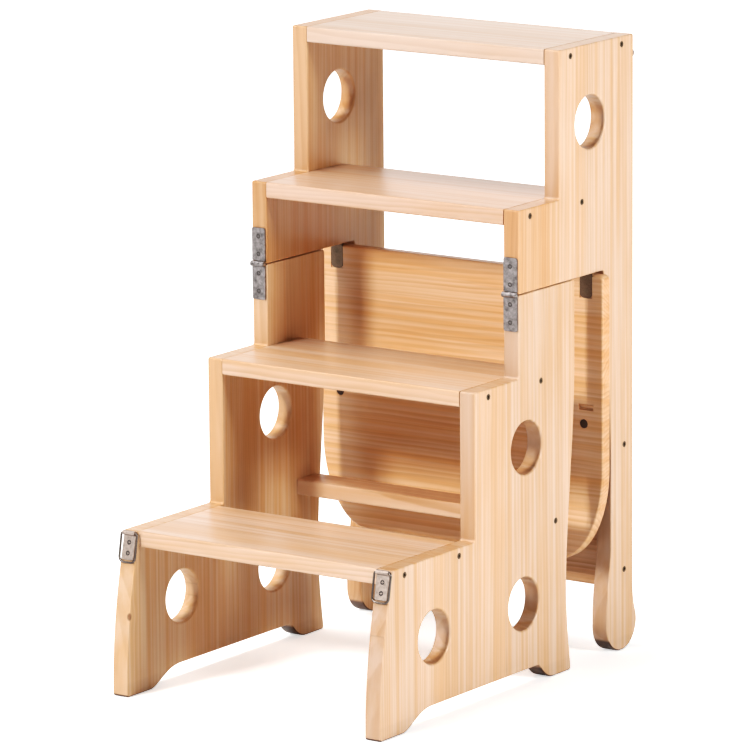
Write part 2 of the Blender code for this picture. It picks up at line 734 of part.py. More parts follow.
def foot_corner(edge, foot, start):
    """A quarter of an ellipse at a lower corner of the board, from an angle in degrees on."""
    towards_middle = -math.copysign(SEAT_FOOT_CORNER_WIDTH, edge)
    steps = round(90 / SEAT_FILLET_STEP)
    return [
        (edge + towards_middle + SEAT_FOOT_CORNER_WIDTH * u, foot + SEAT_FOOT_CORNER_HEIGHT * (1 + v))
        for u, v in arc((0, 0), 1, start, start + 90, steps)
    ]


def seat_board(finish, seat):
    """The wide board that hangs before the legs, and lies flat as the chair's seat."""
    half = WIDTH / 2 + SEAT_OVERHANG
    top = UPPER_BOTTOM - SEAT_TOP_GAP - SEAT_AXIS[1]
    foot = top - SEAT_LENGTH
    top_corners = [(half, top, SEAT_TOP_RADIUS), (-half, top, SEAT_TOP_RADIUS)]
    outline = filleted(foot_corner(-half, foot, 180) + foot_corner(half, foot, 270) + top_corners, SEAT_FILLET_STEP)
    bm = bmesh.new()
    front = SEAT_HINGE_STAND_OFF
    ends = add_prism(bm, outline, front, front + SEAT_THICKNESS, "Y")
    round_rims(bm, ends, SEAT_EDGE_RADIUS, 3)
    board = piece("seat_board", mesh_of(bm, "seat_board"), finish, (0, *SEAT_AXIS), seat)
    bm = bmesh.new()
    add_pockets(bm, swap=True, flip=-1)
    for side in (-1, 1):
        add_hinge_relief(bm, side)
        add_turned(bm, buffer_profile(FIT_GAP), buffer_place(side), (0, 1, 0), KNUCKLE_SIDES)
    helper(board, bm)


def add_hinge_relief(bm, side):
    """Adds the groove that takes the front hinge's barrel when the board lies flat on it."""
    span = FRONT_LEAF.width + 2 * (PIN_END + HINGE_RELIEF_GAP)
    radius = FRONT_KNUCKLE_RADIUS + HINGE_RELIEF_GAP
    start = (PANEL_CENTRE * side - span / 2, *FOLD_ON_BOARD)
    add_turned(bm, [(0, radius), (span, radius)], start, (1, 0, 0), KNUCKLE_SIDES)


def buffer_place(side):
    """The middle of a buffer on the face of the board, from the seat axis."""
    return ((PANEL_CENTRE - BUFFER_INSET) * side, SEAT_HINGE_STAND_OFF, -BUFFER_DROP)


def buffer_profile(gap=0):
    """The buffer, or with a gap its blind hole, as distances into the board and radii."""
    radius = BUFFER_RADIUS + gap
    bottom = [(BUFFER_DEPTH + gap, radius)]
    if gap:
        return [(-BUFFER_STAND_OUT - OVERRUN, radius)] + bottom
    return [(-BUFFER_STAND_OUT, radius - BUFFER_CHAMFER), (BUFFER_CHAMFER - BUFFER_STAND_OUT, radius)] + bottom


def seat_buffer(name, side, finish, seat):
    bm = bmesh.new()
    add_turned(bm, buffer_profile(), (0, 0, 0), (0, 1, 0), KNUCKLE_SIDES)
    place = Vector((0, *SEAT_AXIS)) + Vector(buffer_place(side))
    piece(name, mesh_of(bm, name), finish, place, seat)


# Catches


def bail(name, finish, place, parent):
    """A closed loop of wire that hangs from the barrel at its origin and leans on the wood."""
    half = BAIL_WIDTH / 2 - WIRE_RADIUS
    end = -BAIL_REACH - WIRE_RADIUS
    loop = filleted(
        [
            (-half, 0, BAIL_TOP_RADIUS),
            (half, 0, BAIL_TOP_RADIUS),
            (half, end, BAIL_END_RADIUS),
            (-half, end, BAIL_END_RADIUS),
        ]
    )
    wire = bpy.data.curves.new(name, "CURVE")
    wire.dimensions = "3D"
    wire.bevel_depth = WIRE_RADIUS
    wire.bevel_resolution = 2
    spline = wire.splines.new("POLY")
    spline.points.add(len(loop) - 1)
    for point, (x, z) in zip(spline.points, loop):
        point.co = (x, 0, z, 1)
    spline.use_cyclic_u = True
    wire.materials.append(finish)
    placed(bpy.data.objects.new(name, wire), place, parent, -math.degrees(BAIL_REST))


def stud_height():
    """The stud's height in the step pose, so that the bail just clears its head and drops behind."""
    reach = BAIL_REACH - STUD_CLEARANCE
    tip_in_chair = -2 * PIN_STAND_OFF - STUD_TIP
    above_axis = math.sqrt(reach**2 - (tip_in_chair - BAIL_AXIS[0]) ** 2) - STUD_HEAD_RADIUS
    return 2 * FOLD_HEIGHT - BAIL_AXIS[1] - above_axis


def stud_profile():
    neck_end = FIT_GAP + STUD_NECK_LENGTH
    tip = neck_end + STUD_HEAD_LENGTH
    return [
        (-STUD_THREAD_LENGTH, STUD_THREAD_RADIUS),
        (FIT_GAP, STUD_THREAD_RADIUS),
        (FIT_GAP, STUD_NECK_RADIUS),
        (neck_end, STUD_NECK_RADIUS),
        (neck_end, STUD_HEAD_RADIUS),
        (tip - STUD_CHAMFER, STUD_HEAD_RADIUS),
        (tip, STUD_HEAD_RADIUS - STUD_CHAMFER),
    ]


def stud(name, finish, place, parent):
    bm = bmesh.new()
    add_turned(bm, stud_profile(), (0, 0, 0), (0, 1, 0), SCREW_SIDES)
    piece(name, mesh_of(bm, name), finish, place, parent)


def add_stud_hole(bm, place):
    profile = [
        (-STUD_THREAD_LENGTH - FIT_GAP, STUD_THREAD_RADIUS + FIT_GAP),
        (OVERRUN, STUD_THREAD_RADIUS + FIT_GAP),
    ]
    add_turned(bm, profile, place, (0, 1, 0), SCREW_SIDES)


# The chair


def empty(name, place, parent=None):
    """An empty that carries the pieces which move together, on their axis."""
    made = bpy.data.objects.new(name, None)
    made.empty_display_size = PANEL_THICKNESS
    if parent:
        return placed(made, place, parent)
    made["place"] = tuple(place)
    made.location = (0, -(TOE + STUD_TIP) / 2, 0)
    bpy.context.scene.collection.objects.link(made)
    return made


def open_upper_panel(panel, side):
    """Cuts the hinge pocket in the parting face and the stud's hole in the rear edge."""
    middle = PANEL_THICKNESS / 2
    half = SEAT_LEAF.width / 2 + FIT_GAP
    outline = [(SEAT_AXIS[0] - u, SEAT_AXIS[1] + v) for u, v in pocket_outline()]
    bm = bmesh.new()
    add_prism(bm, outline, middle - half, middle + half)
    add_stud_hole(bm, (middle, UPPER_REAR, stud_height()))
    helper(panel, bm)


def main():
    clear_scene()
    pine = material("pine", (0.86, 0.62, 0.38), 0.5, 0)
    dark_steel = material("dark_steel", (0.06, 0.055, 0.05), 0.45, 0.9)
    grey_steel = material("grey_steel", (0.42, 0.42, 0.42), 0.35, 1)
    bronze = material("bronze", (0.16, 0.12, 0.09), 0.4, 1)
    nickel = material("nickel", (0.62, 0.60, 0.57), 0.3, 1)
    rubber = material("rubber", (0.05, 0.025, 0.015), 0.7, 0)

    base = empty("base_frame", (0, 0, 0))
    upper = empty("upper_fold_axis", (0, *FOLD_AXIS), base)
    seat = empty("seat_axis", (0, *SEAT_AXIS), upper)

    screw = screw_mesh()
    halves = (
        ("base", base_outline(), base_holes(), base_rails(), base),
        ("upper", upper_outline(), upper_holes(), upper_rails(), upper),
    )
    for half_name, outline, holes, rails, frame in halves:
        screws = [place for rail in rails for place in rail.screws]
        for side, word in ((-1, "left"), (1, "right")):
            panel = side_panel(f"{half_name}_side_panel_{word}", outline, holes, screws, side, pine, frame)
            if frame is upper:
                open_upper_panel(panel, side)
        for rail in rails:
            rail_piece(rail, pine, frame)
            rail_screws(rail, screw, dark_steel, frame)
    seat_board(pine, seat)

    for side, word in ((-1, "left"), (1, "right")):
        x = PANEL_CENTRE * side
        front_hinge(word, x, grey_steel, base, upper)
        seat_hinge(word, x, bronze, upper, seat)
        seat_buffer(f"seat_buffer_{word}", side, rubber, seat)
        place = (x, *BAIL_AXIS)
        barrel = [(-CATCH_PLATE.width / 2, CATCH_PLATE.width / 2)]
        plate_turn = -90 - math.degrees(CATCH_TILT)
        leaf_piece(f"catch_plate_{word}", CATCH_PLATE, barrel, nickel, place, base, turn=plate_turn)
        bail(f"catch_bail_{word}", dark_steel, place, empty(f"bail_{word}_axis", place, base))
        stud(f"catch_stud_{word}", nickel, (x, UPPER_REAR, stud_height()), upper)


main()
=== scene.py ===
# %% [markdown]
# # A library step chair in pine
# The chair is two stepped halves of glued pine boards, joined by hinges on the front of the
# middle step. Its solids are already made and packed, so this lesson only dresses them: it sets
# the camera and the light, gives every board its own grain, and makes the screws, wires and
# plates finely enough to be looked at closely.

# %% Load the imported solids
import json
import math

import bmesh
import bpy
from mathutils import Matrix, Vector
from mathutils.geometry import interpolate_bezier


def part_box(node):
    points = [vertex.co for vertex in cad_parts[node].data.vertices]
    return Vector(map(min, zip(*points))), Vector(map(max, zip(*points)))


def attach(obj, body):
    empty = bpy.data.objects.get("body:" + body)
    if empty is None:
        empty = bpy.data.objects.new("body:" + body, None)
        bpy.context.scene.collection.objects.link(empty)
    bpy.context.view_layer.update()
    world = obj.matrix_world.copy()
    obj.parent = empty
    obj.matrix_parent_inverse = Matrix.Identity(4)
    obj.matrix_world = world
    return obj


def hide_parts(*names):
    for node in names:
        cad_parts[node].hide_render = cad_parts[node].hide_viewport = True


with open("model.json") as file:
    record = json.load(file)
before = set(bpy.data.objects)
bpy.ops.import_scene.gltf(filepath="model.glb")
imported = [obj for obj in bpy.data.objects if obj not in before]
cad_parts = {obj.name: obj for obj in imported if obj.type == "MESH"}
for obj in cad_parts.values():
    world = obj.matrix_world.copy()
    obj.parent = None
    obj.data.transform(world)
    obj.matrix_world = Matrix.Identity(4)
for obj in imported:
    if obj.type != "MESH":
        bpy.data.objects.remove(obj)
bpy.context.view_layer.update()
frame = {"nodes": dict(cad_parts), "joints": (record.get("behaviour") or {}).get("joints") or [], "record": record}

MM = 0.001
SIDES = (("left", -1), ("right", 1))


def lengths(box):
    """The side lengths of a box, short enough to print."""
    low, high = box
    return [round(length, 4) for length in high - low]


# %% [markdown]
# ## The camera
# The photograph was taken with a long lens from the front right, a little above the top step.
# Its angles, distance and focal length were worked out from straight edges and corners of known
# pieces, so the camera is built from three directions instead of being moved about by eye: where
# it looks, what is right and what is up. They are the columns of its matrix.

# %% Build the camera from its directions
AZIMUTH, ELEVATION, ROLL = (math.radians(angle) for angle in (35.078, 11.760, -0.460))
DISTANCE, FAR_CLIP = 6.63324, 60.0
TARGET_ACROSS, TARGET_BACK, TARGET_HEIGHT = -0.01037, 0.0136, 0.33485
FOCAL_LENGTH_IN_PIXELS, PICTURE_WIDTH_IN_PIXELS, SENSOR_WIDTH = 5959.9, 750, 36.0

forward = Vector((
    -math.sin(AZIMUTH) * math.cos(ELEVATION),
    math.cos(AZIMUTH) * math.cos(ELEVATION),
    -math.sin(ELEVATION),
))
level_right = Vector((math.cos(AZIMUTH), math.sin(AZIMUTH), 0))
level_up = level_right.cross(forward)
right = level_right * math.cos(ROLL) + level_up * math.sin(ROLL)
up = level_up * math.cos(ROLL) - level_right * math.sin(ROLL)
target = level_right * TARGET_ACROSS + Vector((0, TARGET_BACK, TARGET_HEIGHT))
directions = Matrix((right, up, -forward)).transposed().to_4x4()

camera_data = bpy.data.cameras.new("camera")
camera_data.sensor_width = SENSOR_WIDTH
camera_data.lens = SENSOR_WIDTH * FOCAL_LENGTH_IN_PIXELS / PICTURE_WIDTH_IN_PIXELS
camera_data.clip_end = FAR_CLIP
camera = bpy.data.objects.new("camera", camera_data)
camera.matrix_world = Matrix.Translation(target - forward * DISTANCE) @ directions
scene = bpy.context.scene
scene.collection.objects.link(camera)
scene.camera = camera
print(f"camera: {camera_data.lens:.1f} mm lens, {DISTANCE} m away")

# %% [markdown]
# ## Shader sums in Python
# A procedural material is mostly arithmetic on positions. Written as nodes it soon becomes
# unreadable, so one small class stands for a socket and answers to +, -, * and /: each operator
# adds a Math node. Everything that isn't plain arithmetic is added by one method, `node`, which
# takes a node's type, its settings and what its sockets hold. The same method serves the
# Geometry Nodes trees further down.

# %% A socket that can stand in a sum


class Flow:
    """A socket of a node tree that can stand in a Python sum."""

    def __init__(self, tree, socket):
        self.tree = tree
        self.socket = socket

    def math(self, operation, *others):
        return self.tree.sum(operation, self, *others)

    def __add__(self, other):
        return self.math("ADD", other)

    def __sub__(self, other):
        return self.math("SUBTRACT", other)

    def __mul__(self, other):
        return self.math("MULTIPLY", other)

    def __truediv__(self, other):
        return self.math("DIVIDE", other)

    def __rsub__(self, other):
        return self.tree.sum("SUBTRACT", other, self)

    def __rtruediv__(self, other):
        return self.tree.sum("DIVIDE", other, self)

    __radd__ = __add__
    __rmul__ = __mul__

    def smooth(self, low, high):
        """0 below low and 1 above high, with a soft step between; high may be the smaller."""
        start, end, first, last = (low, high, 0, 1) if low < high else (high, low, 1, 0)
        sockets = {"Value": self, "From Min": start, "From Max": end, "To Min": first, "To Max": last}
        return self.tree.node("ShaderNodeMapRange", {"interpolation_type": "SMOOTHSTEP"}, sockets)

    def between(self, low, high):
        """Low where the socket holds 0 and high where it holds 1."""
        return low + (high - low) * self


print("sums become Math nodes")

# %% A tree that takes nodes


class Tree:
    """A node tree to which nodes are added by type, settings and sockets."""

    def __init__(self, tree):
        self.tree = tree

    def node(self, kind, settings=None, sockets=None, output=0):
        """Adds a node, with its settings first, and returns one of its outputs."""
        made = self.tree.nodes.new(kind)
        for name, value in (settings or {}).items():
            setattr(made, name, value)
        for name, value in (sockets or {}).items():
            self.feed(made.inputs[name], value)
        return Flow(self, made.outputs[output])

    def feed(self, socket, value):
        if isinstance(value, Flow):
            self.tree.links.new(value.socket, socket)
        else:
            socket.default_value = value

    def sum(self, operation, *values):
        return self.node("ShaderNodeMath", {"operation": operation}, dict(enumerate(values)))

    def vector(self, x, y, z):
        return self.node("ShaderNodeCombineXYZ", None, {"X": x, "Y": y, "Z": z})

    def parts(self, vector):
        split = self.node("ShaderNodeSeparateXYZ", None, {"Vector": vector}).socket.node
        return [Flow(self, socket) for socket in split.outputs]


print("trees take nodes")

# %% A finish
WHITE = (1, 1, 1)
# The Mix node has sockets for numbers, vectors and colours. These are its share and its colours.
MIX_SHARE, MIX_FIRST, MIX_SECOND, MIX_RESULT = 0, 6, 7, 2


def as_colour(value):
    return value if isinstance(value, Flow) else (*value, 1)


class Finish(Tree):
    """A material with one Principled shader, and the nodes that feed it."""

    def __init__(self, name, **constants):
        self.material = bpy.data.materials.new(name)
        self.material.use_nodes = True
        super().__init__(self.material.node_tree)
        self.shader = self.tree.nodes["Principled BSDF"]
        self.set(**constants)

    def set(self, **values):
        for name, value in values.items():
            self.feed(self.shader.inputs[name.replace("_", " ")], value)

    def patches(self, point, size, shift=(0, 0, 0), detail=2.0):
        """Soft noise in patches of a size along three axes, moved on by a shift."""
        steps = [part / length for part, length in zip(point, size)]
        moved = [step + move if move else step for step, move in zip(steps, shift)]
        sockets = {"Vector": self.vector(*moved), "Scale": 1.0, "Detail": detail}
        return self.node("ShaderNodeTexNoise", None, sockets)

    def mix(self, share, first, second, blend="MIX"):
        """A colour between two colours, or what another way of blending makes of them."""
        settings = {"data_type": "RGBA", "blend_type": blend}
        sockets = {MIX_SHARE: share, MIX_FIRST: as_colour(first), MIX_SECOND: as_colour(second)}
        return self.node("ShaderNodeMix", settings, sockets, output=MIX_RESULT)

    def tinted(self, share, colour, tint):
        """A colour multiplied by a tint, by the given share."""
        return self.mix(share, colour, tint, "MULTIPLY")

    def scaled(self, colour, factor):
        """A colour made lighter or darker by a factor."""
        return self.node("ShaderNodeVectorMath", {"operation": "SCALE"}, {"Vector": colour, "Scale": factor})

    def bump(self, height, distance, strength):
        sockets = {"Height": height, "Distance": distance, "Strength": strength}
        return self.node("ShaderNodeBump", None, sockets)


print("finishes mix colours by nodes")

# %% [markdown]
# ## The studio
# The shadows tell how the real chair was lit. A narrow shadow of each side panel falls on the
# seat board behind it and leans to the right, so a bright lamp stood in front, a little to the
# left and about thirty degrees up. The outer face on the right is bright as well, so a lamp stood
# on that side, and a wide one hung overhead, because the treads are pale all over. The room in
# front was dim, which leaves the inner faces brown, and the backdrop was white, which puts a pale
# sheen on the treads. The world is therefore a sum on its direction, bright only behind the
# chair. The lamps are hidden from the camera, so that a view from any side is clear.

# %% Paint the room and its backdrop
ROOM_LIGHT, BACKDROP_LIGHT = 0.02, 2.05
BACKDROP_SIDES, BACKDROP_TOP = (0.35, 0.90), (0.75, 0.25)

world = bpy.data.worlds.new("studio_room")
scene.world = world
world.use_nodes = True
room = Tree(world.node_tree)
sideways, backward, upward = room.parts(room.node("ShaderNodeTexCoord", output="Generated"))
behind = backward * math.cos(AZIMUTH) - sideways * math.sin(AZIMUTH)
backdrop = behind.smooth(*BACKDROP_SIDES) * upward.smooth(*BACKDROP_TOP)
sky = world.node_tree.nodes["Background"]
room.feed(sky.inputs["Strength"], backdrop.between(ROOM_LIGHT, BACKDROP_LIGHT))
room.feed(sky.inputs["Color"], (*WHITE, 1))
print("room light", ROOM_LIGHT, "and backdrop light", BACKDROP_LIGHT)

# %% Hang the lamps
MIDDLE_OF_CHAIR = Vector((0, 0, 0.35))


def lamp(name, azimuth, elevation, distance, size, power):
    """A square area lamp that looks at the middle of the chair, by its angles in degrees."""
    turn, rise = math.radians(azimuth), math.radians(elevation)
    back = Vector((math.sin(turn) * math.cos(rise), -math.cos(turn) * math.cos(rise), math.sin(rise)))
    data = bpy.data.lights.new(name, "AREA")
    data.size = size
    data.energy = power
    made = bpy.data.objects.new(name, data)
    made.location = MIDDLE_OF_CHAIR + back * distance
    made.rotation_mode = "QUATERNION"
    made.rotation_quaternion = (-back).to_track_quat("-Z", "Y")
    made.visible_camera = False
    scene.collection.objects.link(made)


lamp("key_lamp", azimuth=-14, elevation=29, distance=10.0, size=1.33, power=1200)
lamp("side_lamp", azimuth=90, elevation=16, distance=5.0, size=1.10, power=328)
lamp("top_lamp", azimuth=-60, elevation=70, distance=12.0, size=6.00, power=1290)

# %% [markdown]
# ## The exposure
# A camera doesn't record light evenly: it deepens the shadows and lets the lights run out softly.
# A curve in the view settings does the same. The lamps' strengths and the curve were fitted
# together, to the mean colours of plain stretches of wood in the photograph.

# %% Set the tone curve
WHITE_LEVEL, ALL_CHANNELS = 1.5, 3
FILM_CURVE = [(0.04, 0.018), (0.10, 0.061), (0.20, 0.168), (0.333, 0.338), (0.50, 0.530), (0.70, 0.730)]

view = scene.view_settings
view.view_transform = "Standard"
view.use_curve_mapping = True
mapping = view.curve_mapping
mapping.white_level = (WHITE_LEVEL, WHITE_LEVEL, WHITE_LEVEL)
for exposure, density in FILM_CURVE:
    mapping.curves[ALL_CHANNELS].points.new(exposure, density)
mapping.update()
print("points on the tone curve:", len(mapping.curves[ALL_CHANNELS].points))

# %% [markdown]
# ## Pine
# A pine board is a slice of a tree, so its pattern is worked out in the solid and not painted on:
# every point knows how far it is from the heart of the tree that its strip was cut from. That
# distance, wandering a little, counts the years. Each year is a wide pale band that darkens
# slowly and ends sharply. Long faces then show lines and pointed arches and ends show arcs, from
# one rule, and each strip of a glued board gets its own tree. Fibres and resin streaks are noise
# drawn out along the grain, and knots push the lines aside and darken.
#
# Three things depend on where the wood is. Ends are darker, because they drink more finish. The
# front edges of the panels are a little darker than their faces, which is painted shade. And the
# undersides of the feet are dark near the floor, which is painted shade too.

# %% The colours and measures of pine
PALE_WOOD, WARM_WOOD = (0.642, 0.469, 0.348), (0.586, 0.350, 0.191)
LATE_WOOD, KNOT_WOOD = (0.460, 0.248, 0.120), (0.200, 0.075, 0.025)
END_TINT, WARM_TINT = (0.90, 0.82, 0.74), (0.94, 0.81, 0.65)
# Painted shade, on the front edges of the panels and on the undersides of the feet:
FRONT_SHADE, SOLE_SHADE = (0.92, 0.88, 0.88), (0.16, 0.11, 0.08)

# Inside the wood lengths are in millimetres, and a patch is so long, so wide and so deep.
STRIP_SHIFT, GLUE_LINE, WARM_EDGE = 7.3, 0.30, 1.5
FIBRE_PATCH, STREAK_PATCH, CLOUD_PATCH = (30, 0.6, 0.6), (700, 6.5, 22), (160, 24, 24)
RESIN_PATCH, RING_PATCH = (9, 0.8, 0.8), (2.2, 2.2, 6)
SLOW_PATCH, QUICK_PATCH, QUICK_WANDER, FINE_DETAIL = (260, 70, 60), (70, 9, 13), 2.2, 3.0

# Where the heart of a strip's tree lies, how it leans, and how its years look.
HEART_DEPTH, HEART_DISTANCE, HEART_LEAN, HEART_TILT = (18, 58), (0.45, 1.0), 0.04, 0.06
YEAR_WIDTH, DARKENING, YEAR_END, VIGOUR = (3.4, 6.8), (0.10, 0.85), (1.0, 0.86), (0.25, 1.0)
KNOT_STRETCH, KNOT_REACH, KNOT_PUSH, KNOT_RIM = 0.72, 2.6, 0.85, (1.15, 0.55)

# How strongly each of these colours, lights and roughens the wood.
STREAK_SHARE, WARMTH, LATE_SHADE, RING_SHADE = 0.7, (0.36, 0.66), (0.45, 1.35), (0.62, 0.92)
STRIP_LIGHT, FIBRE_LIGHT, RESIN_LIGHT, GLUE_LIGHT = (0.965, 1.035), 0.10, 0.08, 0.12
RESIN_SPOTS, END_FACING, FRONT_FACING = (0.72, 0.82), (0.7, 0.95), (-0.70, -0.95)
STANDING, SOLE_HEIGHT, SOLE_FACING = 2 * MM, (18 * MM, 13 * MM), (0.05, -0.30)
FIBRE_RELIEF, LATE_RELIEF, GLUE_RELIEF, RELIEF_HEIGHT = 0.7, 0.5, 0.6, 0.06 * MM
WOOD_ROUGHNESS, FIBRE_ROUGHNESS, LATE_GLOSS = 0.44, 0.16, 0.05
print("pale wood", PALE_WOOD, "and late wood", LATE_WOOD)

# %% A board that knows its tree


def box_of(node):
    """The low corner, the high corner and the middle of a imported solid."""
    low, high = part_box(node)
    return low, high, (low + high) / 2


class Board(Finish):
    """A pine finish in which every point knows its place in its strip and in its tree."""

    def __init__(self, node, grain, width, seed, strip):
        super().__init__(f"pine_{node}", Coat_Weight=0.45, Coat_Roughness=0.28, Specular_IOR_Level=0.45)
        low, _, middle = box_of(node)
        thickness = ({"X", "Y", "Z"} - {grain, width}).pop()
        halfway = dict(zip("XYZ", middle / MM))[thickness]
        self.stands = low.z < STANDING
        self.point = dict(zip("XYZ", self.parts(self.node("ShaderNodeTexCoord", output="Object"))))
        self.facing = dict(zip("XYZ", self.parts(self.node("ShaderNodeTexCoord", output="Normal"))))
        self.along, self.across = (self.point[axis] * (1 / MM) for axis in (grain, width))
        self.depth = self.point[thickness] * (1 / MM) - halfway
        self.place = (self.along, self.across, self.depth)
        self.seed, self.strip = seed, strip
        lane = (self.across + STRIP_SHIFT * seed) / strip
        self.number = lane.math("FLOOR")
        from_middle = (lane - self.number - 0.5).math("ABSOLUTE")
        self.glue = from_middle.smooth(0.5 - GLUE_LINE / strip, 0.5)
        ticket = {"Vector": self.vector(self.number, seed + 0.5, 0.5)}
        self.chances = self.parts(self.node("ShaderNodeTexWhiteNoise", None, ticket, output="Color"))

    def round_knots(self, knots):
        """The places across the board once knots push its lines aside, and how much is knot."""
        bowed, knot = self.across, 0
        for at, over, deep, radius in knots:
            run, rise, fall = (self.along - at) * KNOT_STRETCH, self.across - over, self.depth - deep
            away = (run * run + rise * rise + fall * fall).math("SQRT")
            reach = away * (1 / (KNOT_REACH * radius))
            bowed = bowed - rise * (reach * reach * -1).math("EXPONENT") * KNOT_PUSH
            knot = knot + away.smooth(*(radius * share for share in KNOT_RIM))
        return bowed, knot

    def late_wood(self, bowed, straight, wander):
        """How far a point is late wood: each year darkens slowly and ends sharply."""
        first, second, third = self.chances
        side = first.math("GREATER_THAN", 0.5) * 2 - 1
        distance = straight * self.strip * second.between(*HEART_DISTANCE)
        offset = side * distance + self.along * ((third - 0.5) * HEART_LEAN)
        heart_across = (self.number + 0.5) * self.strip - STRIP_SHIFT * self.seed + offset
        heart_depth = third.between(*HEART_DEPTH) + self.along * ((first - 0.5) * HEART_TILT)
        run, rise = bowed - heart_across, self.depth - heart_depth
        from_heart = (run * run + rise * rise).math("SQRT")
        slow = self.patches(self.place, SLOW_PATCH, (self.seed, 0, 0)) - 0.5
        quick = self.patches(self.place, QUICK_PATCH, (0, self.seed, 0)) - 0.5
        years = (from_heart + slow * wander + quick * QUICK_WANDER) / second.between(*YEAR_WIDTH)
        year = years.math("FRACT")
        count = {"Vector": self.vector(years.math("FLOOR"), self.number, self.seed)}
        vigour = self.node("ShaderNodeTexWhiteNoise", None, count).between(*VIGOUR)
        return year.smooth(*DARKENING) * year.smooth(*YEAR_END) * vigour


print("boards know their trees")

# %% Paint a board


def pine(node, grain, width, seed, strip, contrast, straight, wander, knots=(), tint=WHITE, warm=None):
    """Glued pine for one piece: fibres along the axis grain, strips side by side along width.

    strip is the width of a strip and wander how far its lines stray, in millimetres. contrast is
    how dark late wood is. straight is how many strip widths away the heart of the tree lies: near
    it the lines make arches. A knot is (place along the grain, place across it, depth off the
    middle of the board, radius), in millimetres. The wood is warmer in front of the place warm
    across the grain.
    """
    wood = Board(node, grain, width, seed, strip)
    bowed, knot = wood.round_knots(knots)
    late = wood.late_wood(bowed, straight, wander)
    own = (0, seed, 0)
    fibre = wood.patches(wood.place, FIBRE_PATCH, own, FINE_DETAIL)
    streak = wood.patches((wood.along, bowed, wood.depth), STREAK_PATCH, own, FINE_DETAIL)
    cloud = wood.patches(wood.place, CLOUD_PATCH, own, FINE_DETAIL)
    resin = wood.patches(wood.place, RESIN_PATCH, own).smooth(*RESIN_SPOTS)

    warmth = (streak * STREAK_SHARE + cloud * (1 - STREAK_SHARE)).smooth(*WARMTH)
    colour = wood.mix(warmth, PALE_WOOD, WARM_WOOD)
    colour = wood.mix(late * (contrast * cloud.between(*LATE_SHADE)), colour, LATE_WOOD)
    light = wood.chances[2].between(*STRIP_LIGHT) + (fibre - 0.5) * FIBRE_LIGHT
    colour = wood.scaled(colour, light - resin * RESIN_LIGHT - wood.glue * GLUE_LIGHT)
    colour = wood.tinted(1, colour, tint)
    if warm is not None:
        in_front = wood.across.smooth(warm + WARM_EDGE, warm - WARM_EDGE)
        colour = wood.tinted(in_front, colour, WARM_TINT)
    if knots:
        rings = wood.patches(wood.place, RING_PATCH)
        colour = wood.mix(knot * rings.between(*RING_SHADE), colour, KNOT_WOOD)
    colour = wood.tinted(wood.facing[grain].math("ABSOLUTE").smooth(*END_FACING), colour, END_TINT)
    # Painted shade: the front edges of the panels are made a little darker than their faces.
    if (grain, width) == ("Z", "Y"):
        colour = wood.tinted(wood.facing["Y"].smooth(*FRONT_FACING), colour, FRONT_SHADE)
    # Painted shade: faces of the feet that look down, near the floor, are made dark.
    if wood.stands:
        underside = wood.facing["Z"].smooth(*SOLE_FACING)
        colour = wood.tinted(wood.point["Z"].smooth(*SOLE_HEIGHT) * underside, colour, SOLE_SHADE)
    relief = fibre * FIBRE_RELIEF - late * LATE_RELIEF - wood.glue * GLUE_RELIEF
    wood.set(
        Base_Color=colour,
        Roughness=WOOD_ROUGHNESS + (fibre - 0.5) * FIBRE_ROUGHNESS - late * LATE_GLOSS,
        Normal=wood.bump(relief, RELIEF_HEIGHT, strength=0.5),
    )
    return wood.material


print("pine is mixed for each board when it is needed")

# %% [markdown]
# ## Metals
# The fittings are small and plain, and they read by their finish: mottled zinc on the front
# hinges with brighter pins, a dark bronze plating on the flap hinges of the seat, warm nickel on
# the catches, browned steel on the boards' screws and dull steel on wires and small screws. One
# function mixes them all, from a colour, a roughness, and how mottled and how scratched the
# plating is. The rubber of the buffers is the same mixture without metal.

# %% Mix the metals and the rubber
SCRATCH_PATCH, PATCH_SHADE, PATCH_ROUGHNESS = (0.25, 3.0, 0.25), 0.93, 0.22
PATCH_RELIEF, SCRATCH_RELIEF, PLATING_RELIEF = 0.6, 0.4, 0.05 * MM


def metal(name, colour, roughness, mottle, scratches=0.1, metallic=1.0, grain=1.6):
    """A plating whose mottles are as wide as the grain, in millimetres."""
    plating = Finish(name, Metallic=metallic)
    corner = plating.node("ShaderNodeTexCoord", output="Object")
    point = [axis * (1 / MM) for axis in plating.parts(corner)]
    patch = plating.patches(point, (grain, grain, grain), detail=FINE_DETAIL)
    scratch = plating.patches(point, SCRATCH_PATCH)
    shaded = plating.mix(patch, colour, tuple(level * PATCH_SHADE for level in colour))
    light = 1 + (patch - 0.5) * (2 * mottle) + (scratch - 0.5) * (2 * scratches)
    relief = patch * PATCH_RELIEF + scratch * SCRATCH_RELIEF
    plating.set(
        Base_Color=plating.scaled(shaded, light),
        Roughness=roughness + (patch - 0.5) * PATCH_ROUGHNESS,
        Normal=plating.bump(relief, PLATING_RELIEF, strength=0.4),
    )
    return plating.material


zinc = metal("zinc_plate", (0.305, 0.280, 0.275), roughness=0.44, mottle=0.95, scratches=0.25, grain=4.5)
bronze = metal("bronze_plate", (0.200, 0.140, 0.100), roughness=0.42, mottle=0.45, scratches=0.2)
nickel = metal("nickel_plate", (0.49, 0.405, 0.355), roughness=0.44, mottle=0.45, metallic=0.9, grain=3.0)
wire_steel = metal("wire_steel", (0.215, 0.185, 0.165), roughness=0.36, mottle=0.3)
brown_steel = metal("brown_steel", (0.190, 0.140, 0.095), roughness=0.50, mottle=0.3, metallic=0.75)
dull_steel = metal("dull_steel", (0.130, 0.115, 0.110), roughness=0.40, mottle=0.3)
bright_steel = metal("bright_steel", (0.50, 0.46, 0.43), roughness=0.36, mottle=0.2)
rubber = metal("rubber", (0.085, 0.045, 0.028), roughness=0.70, mottle=0.1, metallic=0.0)
print("finishes so far:", sorted(material.name for material in bpy.data.materials if material.use_nodes))

